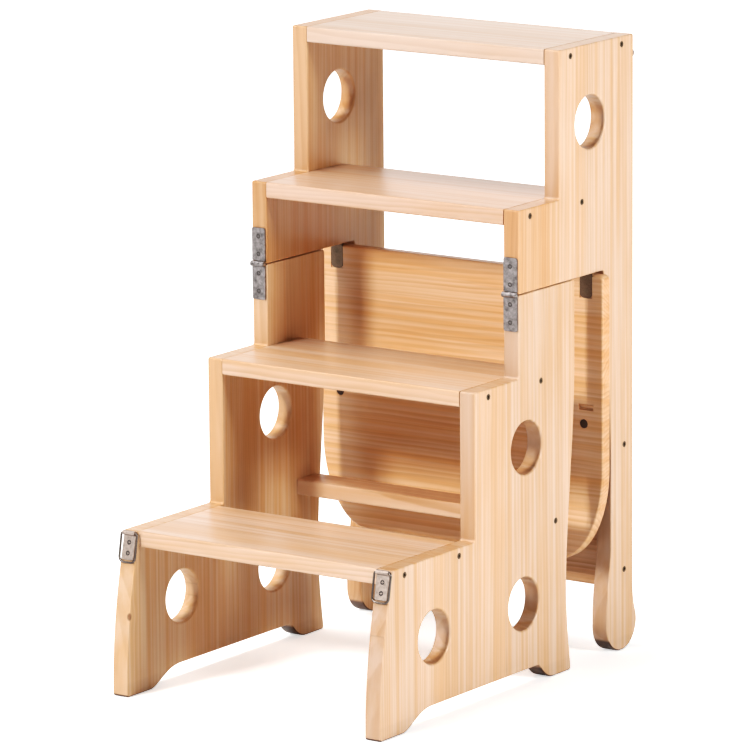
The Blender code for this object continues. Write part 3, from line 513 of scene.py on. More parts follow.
# %% [markdown]
# ## From numbers to fine outlines
# The side panels were cut to a template: two steps in front, an arched foot, a long rear leg
# that ends in a rounded club foot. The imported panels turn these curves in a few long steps, to
# stay light. For a close look they are drawn again in many short steps. A template is a list of
# corners in the side view, as (y, z) or (y, z, radius), and one function rounds every corner that
# has a radius. Inside the templates y counts from the middle riser, which carries the front
# hinges.

# %% Draw rounded outlines
CURVE_STEPS, ARC_STEP = 18, 9.0


def arc(centre, radius, start, end, steps):
    """Points on a circle from one angle to another, in degrees."""
    angles = [math.radians(start + (end - start) * step / steps) for step in range(steps + 1)]
    return [(centre[0] + radius * math.cos(a), centre[1] + radius * math.sin(a)) for a in angles]


def rounded(corners):
    """An outline whose (u, v, radius) corners are rounded and whose (u, v) points stay."""
    outline = []
    for index, corner in enumerate(corners):
        here = Vector(corner[:2])
        if len(corner) == 2:
            outline.append(tuple(here))
            continue
        before = (Vector(corners[index - 1][:2]) - here).normalized()
        after = (Vector(corners[(index + 1) % len(corners)][:2]) - here).normalized()
        half_angle = before.angle(after) / 2
        centre = here + (before + after).normalized() * corner[2] / math.sin(half_angle)
        reach = corner[2] / math.tan(half_angle)
        first, last = here + before * reach - centre, here + after * reach - centre
        start = math.degrees(math.atan2(first.y, first.x))
        sweep = math.degrees(math.atan2(first.cross(last), first.dot(last)))
        outline += arc(centre, corner[2], start, start + sweep, max(1, round(abs(sweep) / ARC_STEP)))
    return outline


def bent(*handles):
    """Points on a Bezier curve."""
    corners = [Vector(handle) for handle in handles]
    return [tuple(point) for point in interpolate_bezier(*corners, CURVE_STEPS + 1)]


def eased(share):
    """A share from 0 to 1 that starts and ends gently."""
    return share * share * (3 - 2 * share)


shares = [step / CURVE_STEPS for step in range(CURVE_STEPS + 1)]
print("points on a curve:", len(shares))

# %% [markdown]
# ## The two templates
# The base leans its front edge out to the toe, eases it to upright, arches over the floor and
# draws its rear edge in at a waist, so that the heel stands out. Its arch is lower and reaches
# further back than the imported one, because the photograph shows it so. The upper half slims its
# leg below the knee and swells it again to the foot.

# %% The template of the base
STEP_HEIGHTS = (184 * MM, 350 * MM, 537.4 * MM, 703.4 * MM)
RISERS = (-245 * MM, -87 * MM, 0.0, 81 * MM)
BASE_TOP, UPPER_BOTTOM = 443.7 * MM, 444.3 * MM
TOE, HEEL, WAIST, BASE_REAR = -270.4 * MM, 104 * MM, 94.5 * MM, 112 * MM
CORNER, INNER_CORNER, HEEL_CORNER = 2.5 * MM, 3 * MM, 4 * MM
TOE_LENGTH, FRONT_INSTEP, REAR_INSTEP, HEEL_LENGTH = 45 * MM, 55 * MM, 30 * MM, 35 * MM
ARCH_HEIGHT, WAIST_HEIGHT, UPRIGHT_HEIGHT = 19 * MM, 90 * MM, 350 * MM
TOE_REACH, FLARE_HEIGHT, STRAIGHT_FRONT, HOLLOW_POWER = 25.5 * MM, 147 * MM, 37 * MM, 1.5
FRONT_ARCH_SHARES = [(0, 0), (0.30, 0.15), (0.50, 1), (1, 1)]
REAR_ARCH_SHARES = [(0, 1), (0.24, 0.45), (0.54, 0), (1, 0)]

arch_start, arch_end = TOE + TOE_LENGTH, HEEL - HEEL_LENGTH
foot = bent(*[(arch_start + FRONT_INSTEP * u, ARCH_HEIGHT * v) for u, v in FRONT_ARCH_SHARES])
foot += bent(*[(arch_end - REAR_INSTEP * (1 - u), ARCH_HEIGHT * v) for u, v in REAR_ARCH_SHARES])
heel, swelling, rise = HEEL - WAIST, BASE_REAR - WAIST, UPRIGHT_HEIGHT - WAIST_HEIGHT
rear = [(WAIST + heel * s**HOLLOW_POWER, WAIST_HEIGHT * (1 - s)) for s in reversed(shares[1:-1])]
rear += [(WAIST + swelling * eased(s), WAIST_HEIGHT + rise * s) for s in shares]
lean = TOE_REACH / (STRAIGHT_FRONT + FLARE_HEIGHT / 2)
bow = TOE_REACH - STRAIGHT_FRONT * lean
flare = [(TOE + bow * s**2, FLARE_HEIGHT * s) for s in reversed(shares[1:])]
base_template = rounded(
    [(TOE, 0, INNER_CORNER)] + foot + [(HEEL, 0, HEEL_CORNER)] + rear
    + [
        (BASE_REAR, BASE_TOP, HEEL_CORNER),
        (RISERS[2], BASE_TOP, CORNER),
        (RISERS[2], STEP_HEIGHTS[1], INNER_CORNER),
        (RISERS[1], STEP_HEIGHTS[1], CORNER),
        (RISERS[1], STEP_HEIGHTS[0], INNER_CORNER),
        (RISERS[0], STEP_HEIGHTS[0], CORNER),
    ]
    + flare
)
print("base template:", len(base_template), "points")

# %% The template of the upper half
UPPER_REAR, LEG_FRONT, SLIM_FRONT = 232 * MM, 171 * MM, 186.6 * MM
KNEE, ANKLE, CALF, CLUB, CLUB_SWELL = 225 * MM, 125 * MM, 85 * MM, 31 * MM, 7.3 * MM
SOLE_ANGLE, LEAVING_ANGLE = 8, 20
ANKLE_SHARE, INSTEP_SHARE, HEEL_SHARE, CALF_SHARE = 0.25, 0.5, 0.35, 0.45

thigh, slimming = UPPER_BOTTOM - KNEE, SLIM_FRONT - LEG_FRONT
leg_front = [
    (SLIM_FRONT - slimming * s**HOLLOW_POWER, KNEE + thigh * s) for s in reversed(shares[:-1])
]
centre = (UPPER_REAR + CLUB_SWELL - CLUB, CLUB * math.cos(math.radians(SOLE_ANGLE)))
club = arc(centre, CLUB, 180, 270 - SOLE_ANGLE, CURVE_STEPS)
club += arc(centre, CLUB, 270 + SOLE_ANGLE, 360 + LEAVING_ANGLE, CURVE_STEPS)
(first_y, first_z), (last_y, last_z) = club[0], club[-1]
drop, rise = ANKLE - first_z, CALF - last_z
leaving = math.radians(LEAVING_ANGLE)
into_club = bent(
    (SLIM_FRONT, ANKLE),
    (SLIM_FRONT, ANKLE - drop * ANKLE_SHARE),
    (first_y, first_z + drop * INSTEP_SHARE),
    club[0],
)
out_of_club = bent(
    club[-1],
    (last_y - math.sin(leaving) * rise * HEEL_SHARE, last_z + math.cos(leaving) * rise * HEEL_SHARE),
    (UPPER_REAR, CALF - rise * CALF_SHARE),
    (UPPER_REAR, CALF),
)
upper_template = rounded(
    [(RISERS[2], UPPER_BOTTOM, CORNER), (LEG_FRONT, UPPER_BOTTOM, INNER_CORNER)]
    + leg_front + into_club[:-1] + club + out_of_club[1:]
    + [
        (UPPER_REAR, STEP_HEIGHTS[3], CORNER),
        (RISERS[3], STEP_HEIGHTS[3], CORNER),
        (RISERS[3], STEP_HEIGHTS[2], INNER_CORNER),
        (RISERS[2], STEP_HEIGHTS[2], CORNER),
    ]
)
print("upper template:", len(upper_template), "points")

# %% [markdown]
# ## Cutting wood
# A board is its outline drawn out to its thickness, with the rims of both faces rounded by a
# bevel. Hand holes, screw holes, pockets and grooves are then cut by one Boolean, as a router
# and a drill would. The Boolean's result is turned into a plain mesh straight away, welded, and
# shaded smooth with weighted normals, so that flats stay flat and only rounded edges turn the
# light.

# %% Draw out, spin and bore


def drawn_out(bm, outline, start, end, axis="X"):
    """Adds an outline drawn out along an axis, and returns its two end faces."""
    place = {"X": lambda u, v, w: (w, u, v), "Y": lambda u, v, w: (u, w, v)}[axis]
    near = bm.faces.new([bm.verts.new(place(u, v, start)) for u, v in outline])
    grown = bmesh.ops.extrude_face_region(bm, geom=[near])["geom"]
    corners = [item for item in grown if isinstance(item, bmesh.types.BMVert)]
    bmesh.ops.translate(bm, verts=corners, vec=place(0, 0, end - start))
    return near, next(item for item in grown if isinstance(item, bmesh.types.BMFace))


def spun(bm, profile, start, axis, sides):
    """Adds a closed body of revolution from (distance, radius) pairs along an axis."""
    direction = Vector(axis)
    across = direction.orthogonal().normalized()
    other = direction.cross(across)
    angles = [2 * math.pi * k / sides for k in range(sides)]
    spokes = [across * math.cos(angle) + other * math.sin(angle) for angle in angles]
    rings = []
    for distance, radius in profile:
        hub = Vector(start) + direction * distance
        rings.append([bm.verts.new(hub + spoke * radius) for spoke in spokes])
    for ring, following in zip(rings, rings[1:]):
        for k in range(sides):
            after = (k + 1) % sides
            bm.faces.new((ring[k], ring[after], following[after], following[k]))
    bm.faces.new(rings[0])
    bm.faces.new(rings[-1])


def bored(bm, radius, depth, start, axis, sides):
    """Adds a straight round bore."""
    spun(bm, [(0, radius), (depth, radius)], start, axis, sides)


print("outlines can be drawn out, spun and bored")

# %% Saw and weld
WELD, FLAT_WITHIN = 0.01 * MM, math.radians(0.3)


def mesh_of(bm, name):
    bmesh.ops.recalc_face_normals(bm, faces=bm.faces)
    mesh = bpy.data.meshes.new(name)
    bm.to_mesh(mesh)
    bm.free()
    return mesh


def welded(mesh):
    """The same mesh with its doubles merged and its flats in one piece."""
    bm = bmesh.new()
    bm.from_mesh(mesh)
    bmesh.ops.remove_doubles(bm, verts=bm.verts, dist=WELD)
    bmesh.ops.dissolve_limit(bm, angle_limit=FLAT_WITHIN, verts=bm.verts, edges=bm.edges)
    bm.to_mesh(mesh)
    bm.free()
    return mesh


def sawn(name, outline, start, end, axis, rim, segments, cuts):
    """A board from its outline, its rims rounded, with the shapes in the bmesh cuts removed."""
    bm = bmesh.new()
    ends = drawn_out(bm, outline, start, end, axis)
    edges = list({edge for face in ends for edge in face.edges})
    bmesh.ops.bevel(bm, geom=edges, offset=rim, segments=segments, profile=0.5, affect="EDGES")
    board, tool = (bpy.data.objects.new(name, mesh_of(b, name)) for b in (bm, cuts))
    for obj in (board, tool):
        scene.collection.objects.link(obj)
    boolean = board.modifiers.new("cuts", "BOOLEAN")
    boolean.solver = "EXACT"
    boolean.object = tool
    graph = bpy.context.evaluated_depsgraph_get()
    result = bpy.data.meshes.new_from_object(board.evaluated_get(graph))
    for obj in (board, tool):
        bpy.data.objects.remove(obj)
    return welded(result)


def triangles(mesh):
    return sum(len(face.vertices) - 2 for face in mesh.polygons)


print("the saw is ready")

# %% Sand a piece and put it in its place
SHARP_FROM = math.radians(40)


def settle(obj, body, slot, *nodes):
    """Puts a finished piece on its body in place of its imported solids."""
    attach(obj, body)
    if nodes:
        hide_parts(*nodes)


def link(name, mesh, finish):
    """An object of a mesh with one finish, smooth wherever the angle is gentle."""
    mesh.materials.clear()
    mesh.materials.append(finish)
    mesh.shade_smooth()
    mesh.set_sharp_from_angle(angle=SHARP_FROM)
    obj = bpy.data.objects.new(name, mesh)
    scene.collection.objects.link(obj)
    return obj


def sanded(node, mesh, finish, body, slot):
    """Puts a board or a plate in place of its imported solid, with its flats kept flat."""
    obj = link(f"{node}_finished", mesh, finish)
    weights = obj.modifiers.new("flats_stay_flat", "WEIGHTED_NORMAL")
    weights.keep_sharp = True
    settle(obj, body, slot, node)


print("pieces can be settled on their bodies")

# %% [markdown]
# ## The side panels
# Each panel has its round hand holes, with an edge that is kind to fingers, and a countersunk
# hole for every screw. The upper panels also have a pocket for the seat hinge in their parting
# face and a hole for the catch stud in their rear edge. Panels are glued up from upright strips,
# because the grain has to run up the legs where they are slim. The real chair has one dark nick,
# on the left foot of the base, and it is made as a small knot.

# %% The measures of the panels
PANEL_INNER, PANEL_OUTER, PANEL_MIDDLE, THICKNESS = 160 * MM, 180 * MM, 170 * MM, 20 * MM
PANEL_RIM, RIM_STEPS = 1.5 * MM, 4
# How far a cut runs past a face.
OVERRUN = 2 * MM
MIDDLE_RISER = 13.6 * MM
HAND_HOLES = {
    "base": [(-166.1 * MM, 94.9 * MM), (9.0 * MM, 94.9 * MM), (15.0 * MM, 271.0 * MM)],
    "upper": [(143.8 * MM, 616.1 * MM)],
}
HOLE_RADIUS, HOLE_ROUNDING, HOLE_SIDES, BORE_SIDES = 30 * MM, 2.5 * MM, 72, 24
ROUNDING_ANGLES, FLARE_SLOPE = (0, 15, 30, 45, 60, 75), 3.7
SCREW_BORE, SINK_DEPTH, SINK_RADIUS = 2.2 * MM, 1.8 * MM, 5.37 * MM
STUD_BORE, STUD_BORE_DEPTH, STUD_GAP = 2.3 * MM, 20 * MM, 0.3 * MM
SEAT_AXIS = (163.2 * MM, 443.9 * MM)
KNUCKLE, POCKET_DEPTH, POCKET_LENGTH, POCKET_HALF_WIDTH = 2.6 * MM, 1.9 * MM, 28.8 * MM, 8.3 * MM
KNUCKLE_STEPS = 32

flared = []
for angle in ROUNDING_ANGLES:
    sunk, opened = 1 - math.sin(math.radians(angle)), 1 - math.cos(math.radians(angle))
    flared.append((THICKNESS - HOLE_ROUNDING * sunk, HOLE_RADIUS + HOLE_ROUNDING * opened))
flared.append((THICKNESS + OVERRUN, flared[-1][1] + OVERRUN * FLARE_SLOPE))
hole_profile = [(THICKNESS - distance, radius) for distance, radius in reversed(flared)] + flared
screw_hole = [(-OVERRUN, SINK_RADIUS), (SINK_DEPTH, SCREW_BORE), (THICKNESS + OVERRUN, SCREW_BORE)]
print("hand holes:", {half: len(places) for half, places in HAND_HOLES.items()})

# %% Make the side panels
# The left panels are seen by their shaded inner faces, and their tints are painted light and shade: the base is
# made lighter, the upper half darker and warmer.
PANEL_LOOKS = {
    "base_side_panel_left": {"tint": (1.10, 1.09, 0.99), "knots": [(90.5, -250.0, 9.5, 3.4)]},
    "base_side_panel_right": {},
    "upper_side_panel_left": {"tint": (0.96, 0.83, 0.64)},
    "upper_side_panel_right": {"warm": 76.0},
}


def screws_of(body):
    """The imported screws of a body."""
    return [node for node in frame["record"]["behaviour"]["bodies"][body] if node.startswith("screw_")]


def cut_pocket(cuts, side, hanging):
    """Cuts the recess of a flush hinge leaf, hanging in the seat board or lying in a panel."""
    first = math.degrees(math.asin(POCKET_DEPTH / KNUCKLE))
    recess = arc((0, 0), KNUCKLE, first, 360 - first, KNUCKLE_STEPS)
    recess += [(POCKET_LENGTH, -POCKET_DEPTH), (POCKET_LENGTH, POCKET_DEPTH)]
    laid = [(v, -u) if hanging else (-u, v) for u, v in recess]
    outline = [(y + SEAT_AXIS[0], z + SEAT_AXIS[1]) for y, z in laid]
    middle = side * PANEL_MIDDLE
    drawn_out(cuts, outline, middle - POCKET_HALF_WIDTH, middle + POCKET_HALF_WIDTH)


seed = 1.0
for half, template in (("base", base_template), ("upper", upper_template)):
    outline = [(y + MIDDLE_RISER, z) for y, z in template]
    for word, side in SIDES:
        node = f"{half}_side_panel_{word}"
        left_face = min(side * PANEL_INNER, side * PANEL_OUTER)
        cuts = bmesh.new()
        for y, z in HAND_HOLES[half]:
            spun(cuts, hole_profile, (left_face, y + MIDDLE_RISER, z), (1, 0, 0), HOLE_SIDES)
        for screw in screws_of(half):
            if f"_{word}_" in screw:
                _, _, middle = box_of(screw)
                spun(cuts, screw_hole, (side * PANEL_OUTER, middle.y, middle.z), (-side, 0, 0), BORE_SIDES)
        if half == "upper":
            cut_pocket(cuts, side, hanging=False)
            low, _, middle = box_of(f"catch_stud_{word}")
            start = (middle.x, low.y - STUD_GAP, middle.z)
            bored(cuts, STUD_BORE, STUD_BORE_DEPTH, start, (0, 1, 0), BORE_SIDES)
        mesh = sawn(node, outline, left_face, left_face + THICKNESS, "X", PANEL_RIM, RIM_STEPS, cuts)
        figure = {"strip": 58.0, "contrast": 0.42, "straight": 3.0, "wander": 5.0}
        sanded(node, mesh, pine(node, "Z", "Y", seed, **figure, **PANEL_LOOKS[node]), half, "pine")
        print(node, "triangles:", triangles(mesh))
        seed += 1.0

# %% [markdown]
# ## The seat board
# The board hangs by its top edge in front of the rear legs. Its foot corners are tall quarter
# ellipses, which become the rounded front of the seat. Its face has pockets for the flush
# hinges, a groove on each side that takes the barrel of a front hinge when the board lies flat,
# and a blind hole for each rubber buffer. Its strips lie across the chair, and they are cut near
# the heart of the tree, so they show arches.

# %% Make the seat board
SEAT_RIM, SEAT_RIM_STEPS, TOP_CORNER = 3 * MM, 5, 6 * MM
CORNER_WIDTH, CORNER_HEIGHT, ELLIPSE_STEPS = 62 * MM, 108 * MM, 24
GROOVE_RADIUS, GROOVE_LENGTH, GROOVE_Y, GROOVE_Z = 3.7 * MM, 19.7 * MM, 163.1 * MM, 290.8 * MM
BUFFER_BORE, BUFFER_BORE_DEPTH, ROUND_SIDES = 5.3 * MM, 2.8 * MM, 40
seat_low, seat_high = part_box("seat_board")


def foot_corner(edge, start):
    """A quarter of an ellipse at a lower corner, from an angle in degrees on."""
    inwards = -math.copysign(CORNER_WIDTH, edge)
    quarter = arc((0, 0), 1, start, start + 90, ELLIPSE_STEPS)
    return [(edge + inwards + CORNER_WIDTH * u, seat_low.z + CORNER_HEIGHT * (1 + v)) for u, v in quarter]


right_edge, top = seat_high.x, seat_high.z
outline = rounded(
    foot_corner(-right_edge, 180) + foot_corner(right_edge, 270)
    + [(right_edge, top, TOP_CORNER), (-right_edge, top, TOP_CORNER)]
)
cuts = bmesh.new()
for word, side in SIDES:
    cut_pocket(cuts, side, hanging=True)
    start = (side * PANEL_MIDDLE - GROOVE_LENGTH / 2, GROOVE_Y, GROOVE_Z)
    bored(cuts, GROOVE_RADIUS, GROOVE_LENGTH, start, (1, 0, 0), ROUND_SIDES)
    low, _, middle = box_of(f"seat_buffer_{word}")
    start = (middle.x, low.y - OVERRUN, middle.z)
    bored(cuts, BUFFER_BORE, OVERRUN + BUFFER_BORE_DEPTH, start, (0, 1, 0), ROUND_SIDES)
mesh = sawn("seat_board", outline, seat_low.y, seat_high.y, "Y", SEAT_RIM, SEAT_RIM_STEPS, cuts)
# Its tint is partly the board's own paler wood and partly painted shade: blue is held back so that its shaded
# parts read warmer.
figure = {"strip": 74.0, "contrast": 0.60, "straight": 1.3, "wander": 9.0, "tint": (1.16, 1.05, 0.88)}
sanded("seat_board", mesh, pine("seat_board", "X", "Z", seed=7.0, **figure), "seat", "pine")
print("seat board triangles:", triangles(mesh))

# %% [markdown]
# ## Geometry Nodes from Python
# What repeats, and what follows a simple rule, is made with Geometry Nodes. A tree gets named
# inputs for its sizes. They are set on the modifier by each socket's identifier before the object
# is looked at, then the result is turned into a plain mesh and the modifier goes. The tree ends
# in Realize Instances and Set Material, because instances alone aren't part of a mesh.

# %% A recipe for a piece
RECIPE_WELD = 0.002 * MM


class Recipe(Tree):
    """A Geometry Nodes tree with named inputs."""

    def __init__(self, name, **inputs):
        super().__init__(bpy.data.node_groups.new(name, "GeometryNodeTree"))
        interface = self.tree.interface
        interface.new_socket("Geometry", in_out="INPUT", socket_type="NodeSocketGeometry")
        self.keys = {}
        for label, value in inputs.items():
            kind = "Material" if value is None else "Vector" if isinstance(value, tuple) else "Float"
            socket = interface.new_socket(label, in_out="INPUT", socket_type=f"NodeSocket{kind}")
            self.keys[label] = socket.identifier
            if value is not None:
                socket.default_value = value
        interface.new_socket("Geometry", in_out="OUTPUT", socket_type="NodeSocketGeometry")
        self.given = self.tree.nodes.new("NodeGroupInput")
        self.end = self.tree.nodes.new("NodeGroupOutput")

    def __getitem__(self, label):
        return Flow(self, self.given.outputs[label])

    def join(self, *pieces):
        joined = self.node("GeometryNodeJoinGeometry")
        for piece in pieces:
            self.tree.links.new(piece.socket, joined.socket.node.inputs[0])
        return joined

    def moved(self, geometry, **changes):
        """A geometry with a new Translation, a new Rotation or both."""
        return self.node("GeometryNodeTransform", None, {"Geometry": geometry, **changes})

    def soft_rectangle(self, width, height, radius, steps):
        """A rectangle of curve whose corners are rounded."""
        sizes = {"Width": width, "Height": height}
        sharp = self.node("GeometryNodeCurvePrimitiveQuadrilateral", {"mode": "RECTANGLE"}, sizes)
        rounding = {"Curve": sharp, "Radius": radius, "Count": steps}
        return self.node("GeometryNodeFilletCurve", {"mode": "POLY"}, rounding)

    def swept(self, curve, profile, capped):
        sockets = {"Curve": curve, "Profile Curve": profile, "Fill Caps": capped}
        return self.node("GeometryNodeCurveToMesh", None, sockets)

    def finish(self, geometry):
        """Ends the tree: instances made real, with the given material."""
        real = self.node("GeometryNodeRealizeInstances", None, {"Geometry": geometry})
        worn = self.node("GeometryNodeSetMaterial", None, {"Geometry": real, "Material": self["Material"]})
        self.tree.links.new(worn.socket, self.end.inputs[0])

    def made(self, name, mesh, **values):
        """Runs the tree on a mesh with the given inputs, and returns a plain mesh object."""
        maker = bpy.data.objects.new(f"{name}_maker", mesh)
        scene.collection.objects.link(maker)
        modifier = maker.modifiers.new("recipe", "NODES")
        modifier.node_group = self.tree
        for label, value in values.items():
            modifier[self.keys[label]] = value
        graph = bpy.context.evaluated_depsgraph_get()
        result = bpy.data.meshes.new_from_object(maker.evaluated_get(graph))
        bpy.data.objects.remove(maker)
        bm = bmesh.new()
        bm.from_mesh(result)
        bmesh.ops.remove_doubles(bm, verts=bm.verts, dist=RECIPE_WELD)
        bmesh.ops.recalc_face_normals(bm, faces=bm.faces)
        bm.to_mesh(result)
        bm.free()
        return link(name, result, values["Material"])


def points_mesh(name, places, facings=()):
    """A mesh of loose points, with the direction that each one faces."""
    mesh = bpy.data.meshes.new(name)
    mesh.from_pydata([tuple(place) for place in places], [], [])
    if facings:
        stored = mesh.attributes.new("facing", "FLOAT_VECTOR", "POINT")
        for item, facing in zip(stored.data, facings):
            item.vector = facing
    return mesh


print("recipes can be written")

# %% [markdown]
# ## Treads, stretcher and backrest
# These boards follow one rule: a rectangle with rounded corners, drawn out between the side
# panels. In the tree the rectangle is a curve with its corners filleted, swept along a straight
# line with its ends capped. Six boards come from one tree with different inputs.

# %% The board recipe
BOARD_SIZES = {"Length": 320 * MM, "Depth": 150 * MM, "Height": 18 * MM, "Rounding": 2.4 * MM}
QUARTER_TURN, ORIGIN, BOARD_CORNER_STEPS = math.pi / 2, (0.0, 0.0, 0.0), 7

board_recipe = Recipe("board", **BOARD_SIZES, Middle=ORIGIN, Material=None)
board_end = board_recipe.soft_rectangle(
    board_recipe["Depth"], board_recipe["Height"], board_recipe["Rounding"], BOARD_CORNER_STEPS
)
half_length = board_recipe["Length"] / 2
ends = {"Start": board_recipe.vector(0, 0, half_length * -1), "End": board_recipe.vector(0, 0, half_length)}
spine = board_recipe.node("GeometryNodeCurvePrimitiveLine", {"mode": "POINTS"}, ends)
board = board_recipe.swept(spine, board_end, capped=True)
lying = (QUARTER_TURN, 0, QUARTER_TURN)
board_recipe.finish(board_recipe.moved(board, Rotation=lying, Translation=board_recipe["Middle"]))
print("inputs of the board recipe:", list(board_recipe.keys))

# %% Make the six boards
# The body of each board, the axis across its strips, its seed and its look.
BOARDS = {
    "tread_1": ("base", "Y", 11.0, {"strip": 50.0, "contrast": 0.50, "tint": (1.07, 1.10, 1.18)}),
    "tread_2": ("base", "Y", 12.3, {"strip": 50.0, "contrast": 0.50, "tint": (1.07, 1.07, 1.10)}),
    "stretcher": ("base", "Y", 13.1, {"strip": 90.0, "contrast": 0.75, "tint": (1.12, 1.06, 1.0)}),
    "tread_3": ("upper", "Y", 14.7, {"strip": 50.0, "contrast": 0.42, "tint": (0.965, 0.95, 1.0)}),
    "tread_4": ("upper", "Y", 15.9, {"strip": 50.0, "contrast": 0.34, "tint": (0.965, 1.0, 1.085)}),
    "backrest_board": ("upper", "Z", 16.2, {"strip": 62.0, "contrast": 0.75, "tint": (1.05, 0.94, 0.80)}),
}
for node, (body, width, seed, look) in BOARDS.items():
    low, high, middle = box_of(node)
    wood = pine(node, "X", width, seed, straight=2.2, wander=7.0, **look)
    sizes = dict(zip(("Length", "Depth", "Height"), high - low))
    points = points_mesh(node, [middle])
    board = board_recipe.made(f"{node}_finished", points, Material=wood, Middle=middle, **sizes)
    settle(board, body, "pine", node)
    print(node, "made", [round(v, 4) for v in board.dimensions], "packed", lengths((low, high)))

# %% [markdown]
# ## Screws
# Twenty-two dark countersunk screws hold the boards: two to each end of a tread and of the
# backrest, and one to each end of the stretcher. Small cross-headed ones hold the hinge leaves
# and catch plates. A screw is made once: a cone for the head, a cylinder for the shank, and a
# recess cut by a Boolean. It is then set on every point of a mesh of loose points and turned to
# the direction stored there.

# %% The screw recipes
BOARD_SCREW = {
    "Head": 3.4 * MM, "Shank": 1.9 * MM, "Depth": 1.8 * MM,
    "Length": 40 * MM, "Recess": 1.8 * MM, "Sink": 1.4 * MM,
}
LEAF_SCREW = {
    "Head": 2.7 * MM, "Shank": 1.2 * MM, "Depth": 1.1 * MM,
    "Length": 7 * MM, "Recess": 1.7 * MM, "Sink": 0.8 * MM,
}
ARM_WIDTH_SHARE, HEAD_SIDES, SOCKET_SIDES, SHANK_SIDES = 0.42, 40, 6, 20


def screw_recipe(name, crossed, sizes):
    """A countersunk screw, its head at 0 facing +Z, set on points along their facing."""
    recipe = Recipe(name, **sizes, Material=None)
    head_radius, shank_radius, depth, length, recess, sink = (recipe[label] for label in sizes)
    radii = {"Radius Top": head_radius, "Radius Bottom": shank_radius}
    cone = recipe.node(
        "GeometryNodeMeshCone", {"fill_type": "NGON"}, {"Vertices": HEAD_SIDES, "Depth": depth, **radii}
    )
    head = recipe.moved(cone, Translation=recipe.vector(0, 0, depth * -1))
    if crossed:
        size = recipe.vector(recess * 2, recess * ARM_WIDTH_SHARE, sink * 2)
        arms = [recipe.node("GeometryNodeMeshCube", None, {"Size": size}) for _ in range(2)]
        arms = [recipe.moved(arm, Rotation=(0, 0, turn)) for arm, turn in zip(arms, (0, QUARTER_TURN))]
    else:
        sockets = {"Vertices": SOCKET_SIDES, "Radius": recess, "Depth": sink * 2}
        arms = [recipe.node("GeometryNodeMeshCylinder", None, sockets)]
    cut = recipe.node("GeometryNodeMeshBoolean", {"operation": "DIFFERENCE"}, {"Mesh 1": head})
    for arm in arms:
        recipe.tree.links.new(arm.socket, cut.socket.node.inputs["Mesh 2"])
    sockets = {"Vertices": SHANK_SIDES, "Radius": shank_radius, "Depth": length - depth}
    shank = recipe.node("GeometryNodeMeshCylinder", None, sockets)
    shank = recipe.moved(shank, Translation=recipe.vector(0, 0, (length + depth) * -0.5))
    facing = recipe.node("GeometryNodeInputNamedAttribute", {"data_type": "FLOAT_VECTOR"}, {"Name": "facing"})
    turn = recipe.node("FunctionNodeAlignRotationToVector", {"axis": "Z"}, {"Vector": facing})
    sockets = {"Points": recipe["Geometry"], "Instance": recipe.join(cut, shank), "Rotation": turn}
    recipe.finish(recipe.node("GeometryNodeInstanceOnPoints", None, sockets))
    return recipe


board_screw = screw_recipe("board_screw", False, BOARD_SCREW)
leaf_screw = screw_recipe("leaf_screw", True, LEAF_SCREW)
print("screws:", BOARD_SCREW["Length"] / MM, "and", LEAF_SCREW["Length"] / MM, "mm long")

# %% Set the screws of the boards
HEAD_SUNK = 0.15 * MM
for body in ("base", "upper"):
    nodes = sorted(screws_of(body))
    places, facings = [], []
    for node in nodes:
        low, high, middle = box_of(node)
        outer = max(low.x, high.x, key=abs)
        side = math.copysign(1, outer)
        places.append((outer - side * HEAD_SUNK, middle.y, middle.z))
        facings.append((side, 0, 0))
    points = points_mesh(f"{body}_screw_points", places, facings)
    screws = board_screw.made(f"{body}_board_screws", points, Material=brown_steel)
    settle(screws, body, "screw_steel", *nodes)
    print(body, "board screws:", len(nodes))

# %% [markdown]
# ## Hinges
# The front hinges are short strips of thick zinced steel with three knuckles, screwed on the
# face of the middle riser. The seat's flap hinges are thin, round-ended and let in flush. Their
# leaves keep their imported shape; the pins are turned again with round ends.

# %% Turn pins and polish leaves
PIN_ROUNDING_SHARE = 0.4


def polished(node, finish, body, slot):
    """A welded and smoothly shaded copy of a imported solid, which takes its place."""
    sanded(node, welded(frame["nodes"][node].data.copy()), finish, body, slot)


def turned(node, profile, axis, finish, body, slot, sides=ROUND_SIDES):
    """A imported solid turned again, from (distance, radius) pairs along its axis, X or Y."""
    low, _, middle = box_of(node)
    start = (low.x, middle.y, middle.z) if axis == "X" else (middle.x, low.y, middle.z)
    bm = bmesh.new()
    spun(bm, profile, start, (1, 0, 0) if axis == "X" else (0, 1, 0), sides)
    settle(link(f"{node}_finished", mesh_of(bm, f"{node}_finished"), finish), body, slot, node)


def pin(node, finish, body, slot):
    """A pin whose two ends are rounded."""
    low, high, _ = box_of(node)
    length, radius = high.x - low.x, (high.z - low.z) / 2
    rounding = radius * PIN_ROUNDING_SHARE
    angles = [math.radians(angle) for angle in (90, 60, 30, 0)]
    first = [(rounding * (1 - math.sin(a)), radius - rounding * (1 - math.cos(a))) for a in angles]
    profile = first + [(length - distance, reach) for distance, reach in reversed(first)]
    turned(node, profile, "X", finish, body, slot)


print("pins can be turned")

# %% Fit the hinges and place their screws
LEAF_THICKNESS, FRONT_SCREW_SUNK, FLAP_SCREW_SUNK = 1.8 * MM, 0.1 * MM, 0.3 * MM
FRONT_SCREW_SHARES, FLAP_SCREW_SHARES = (0.22, 0.68), (0.24, 0.62)

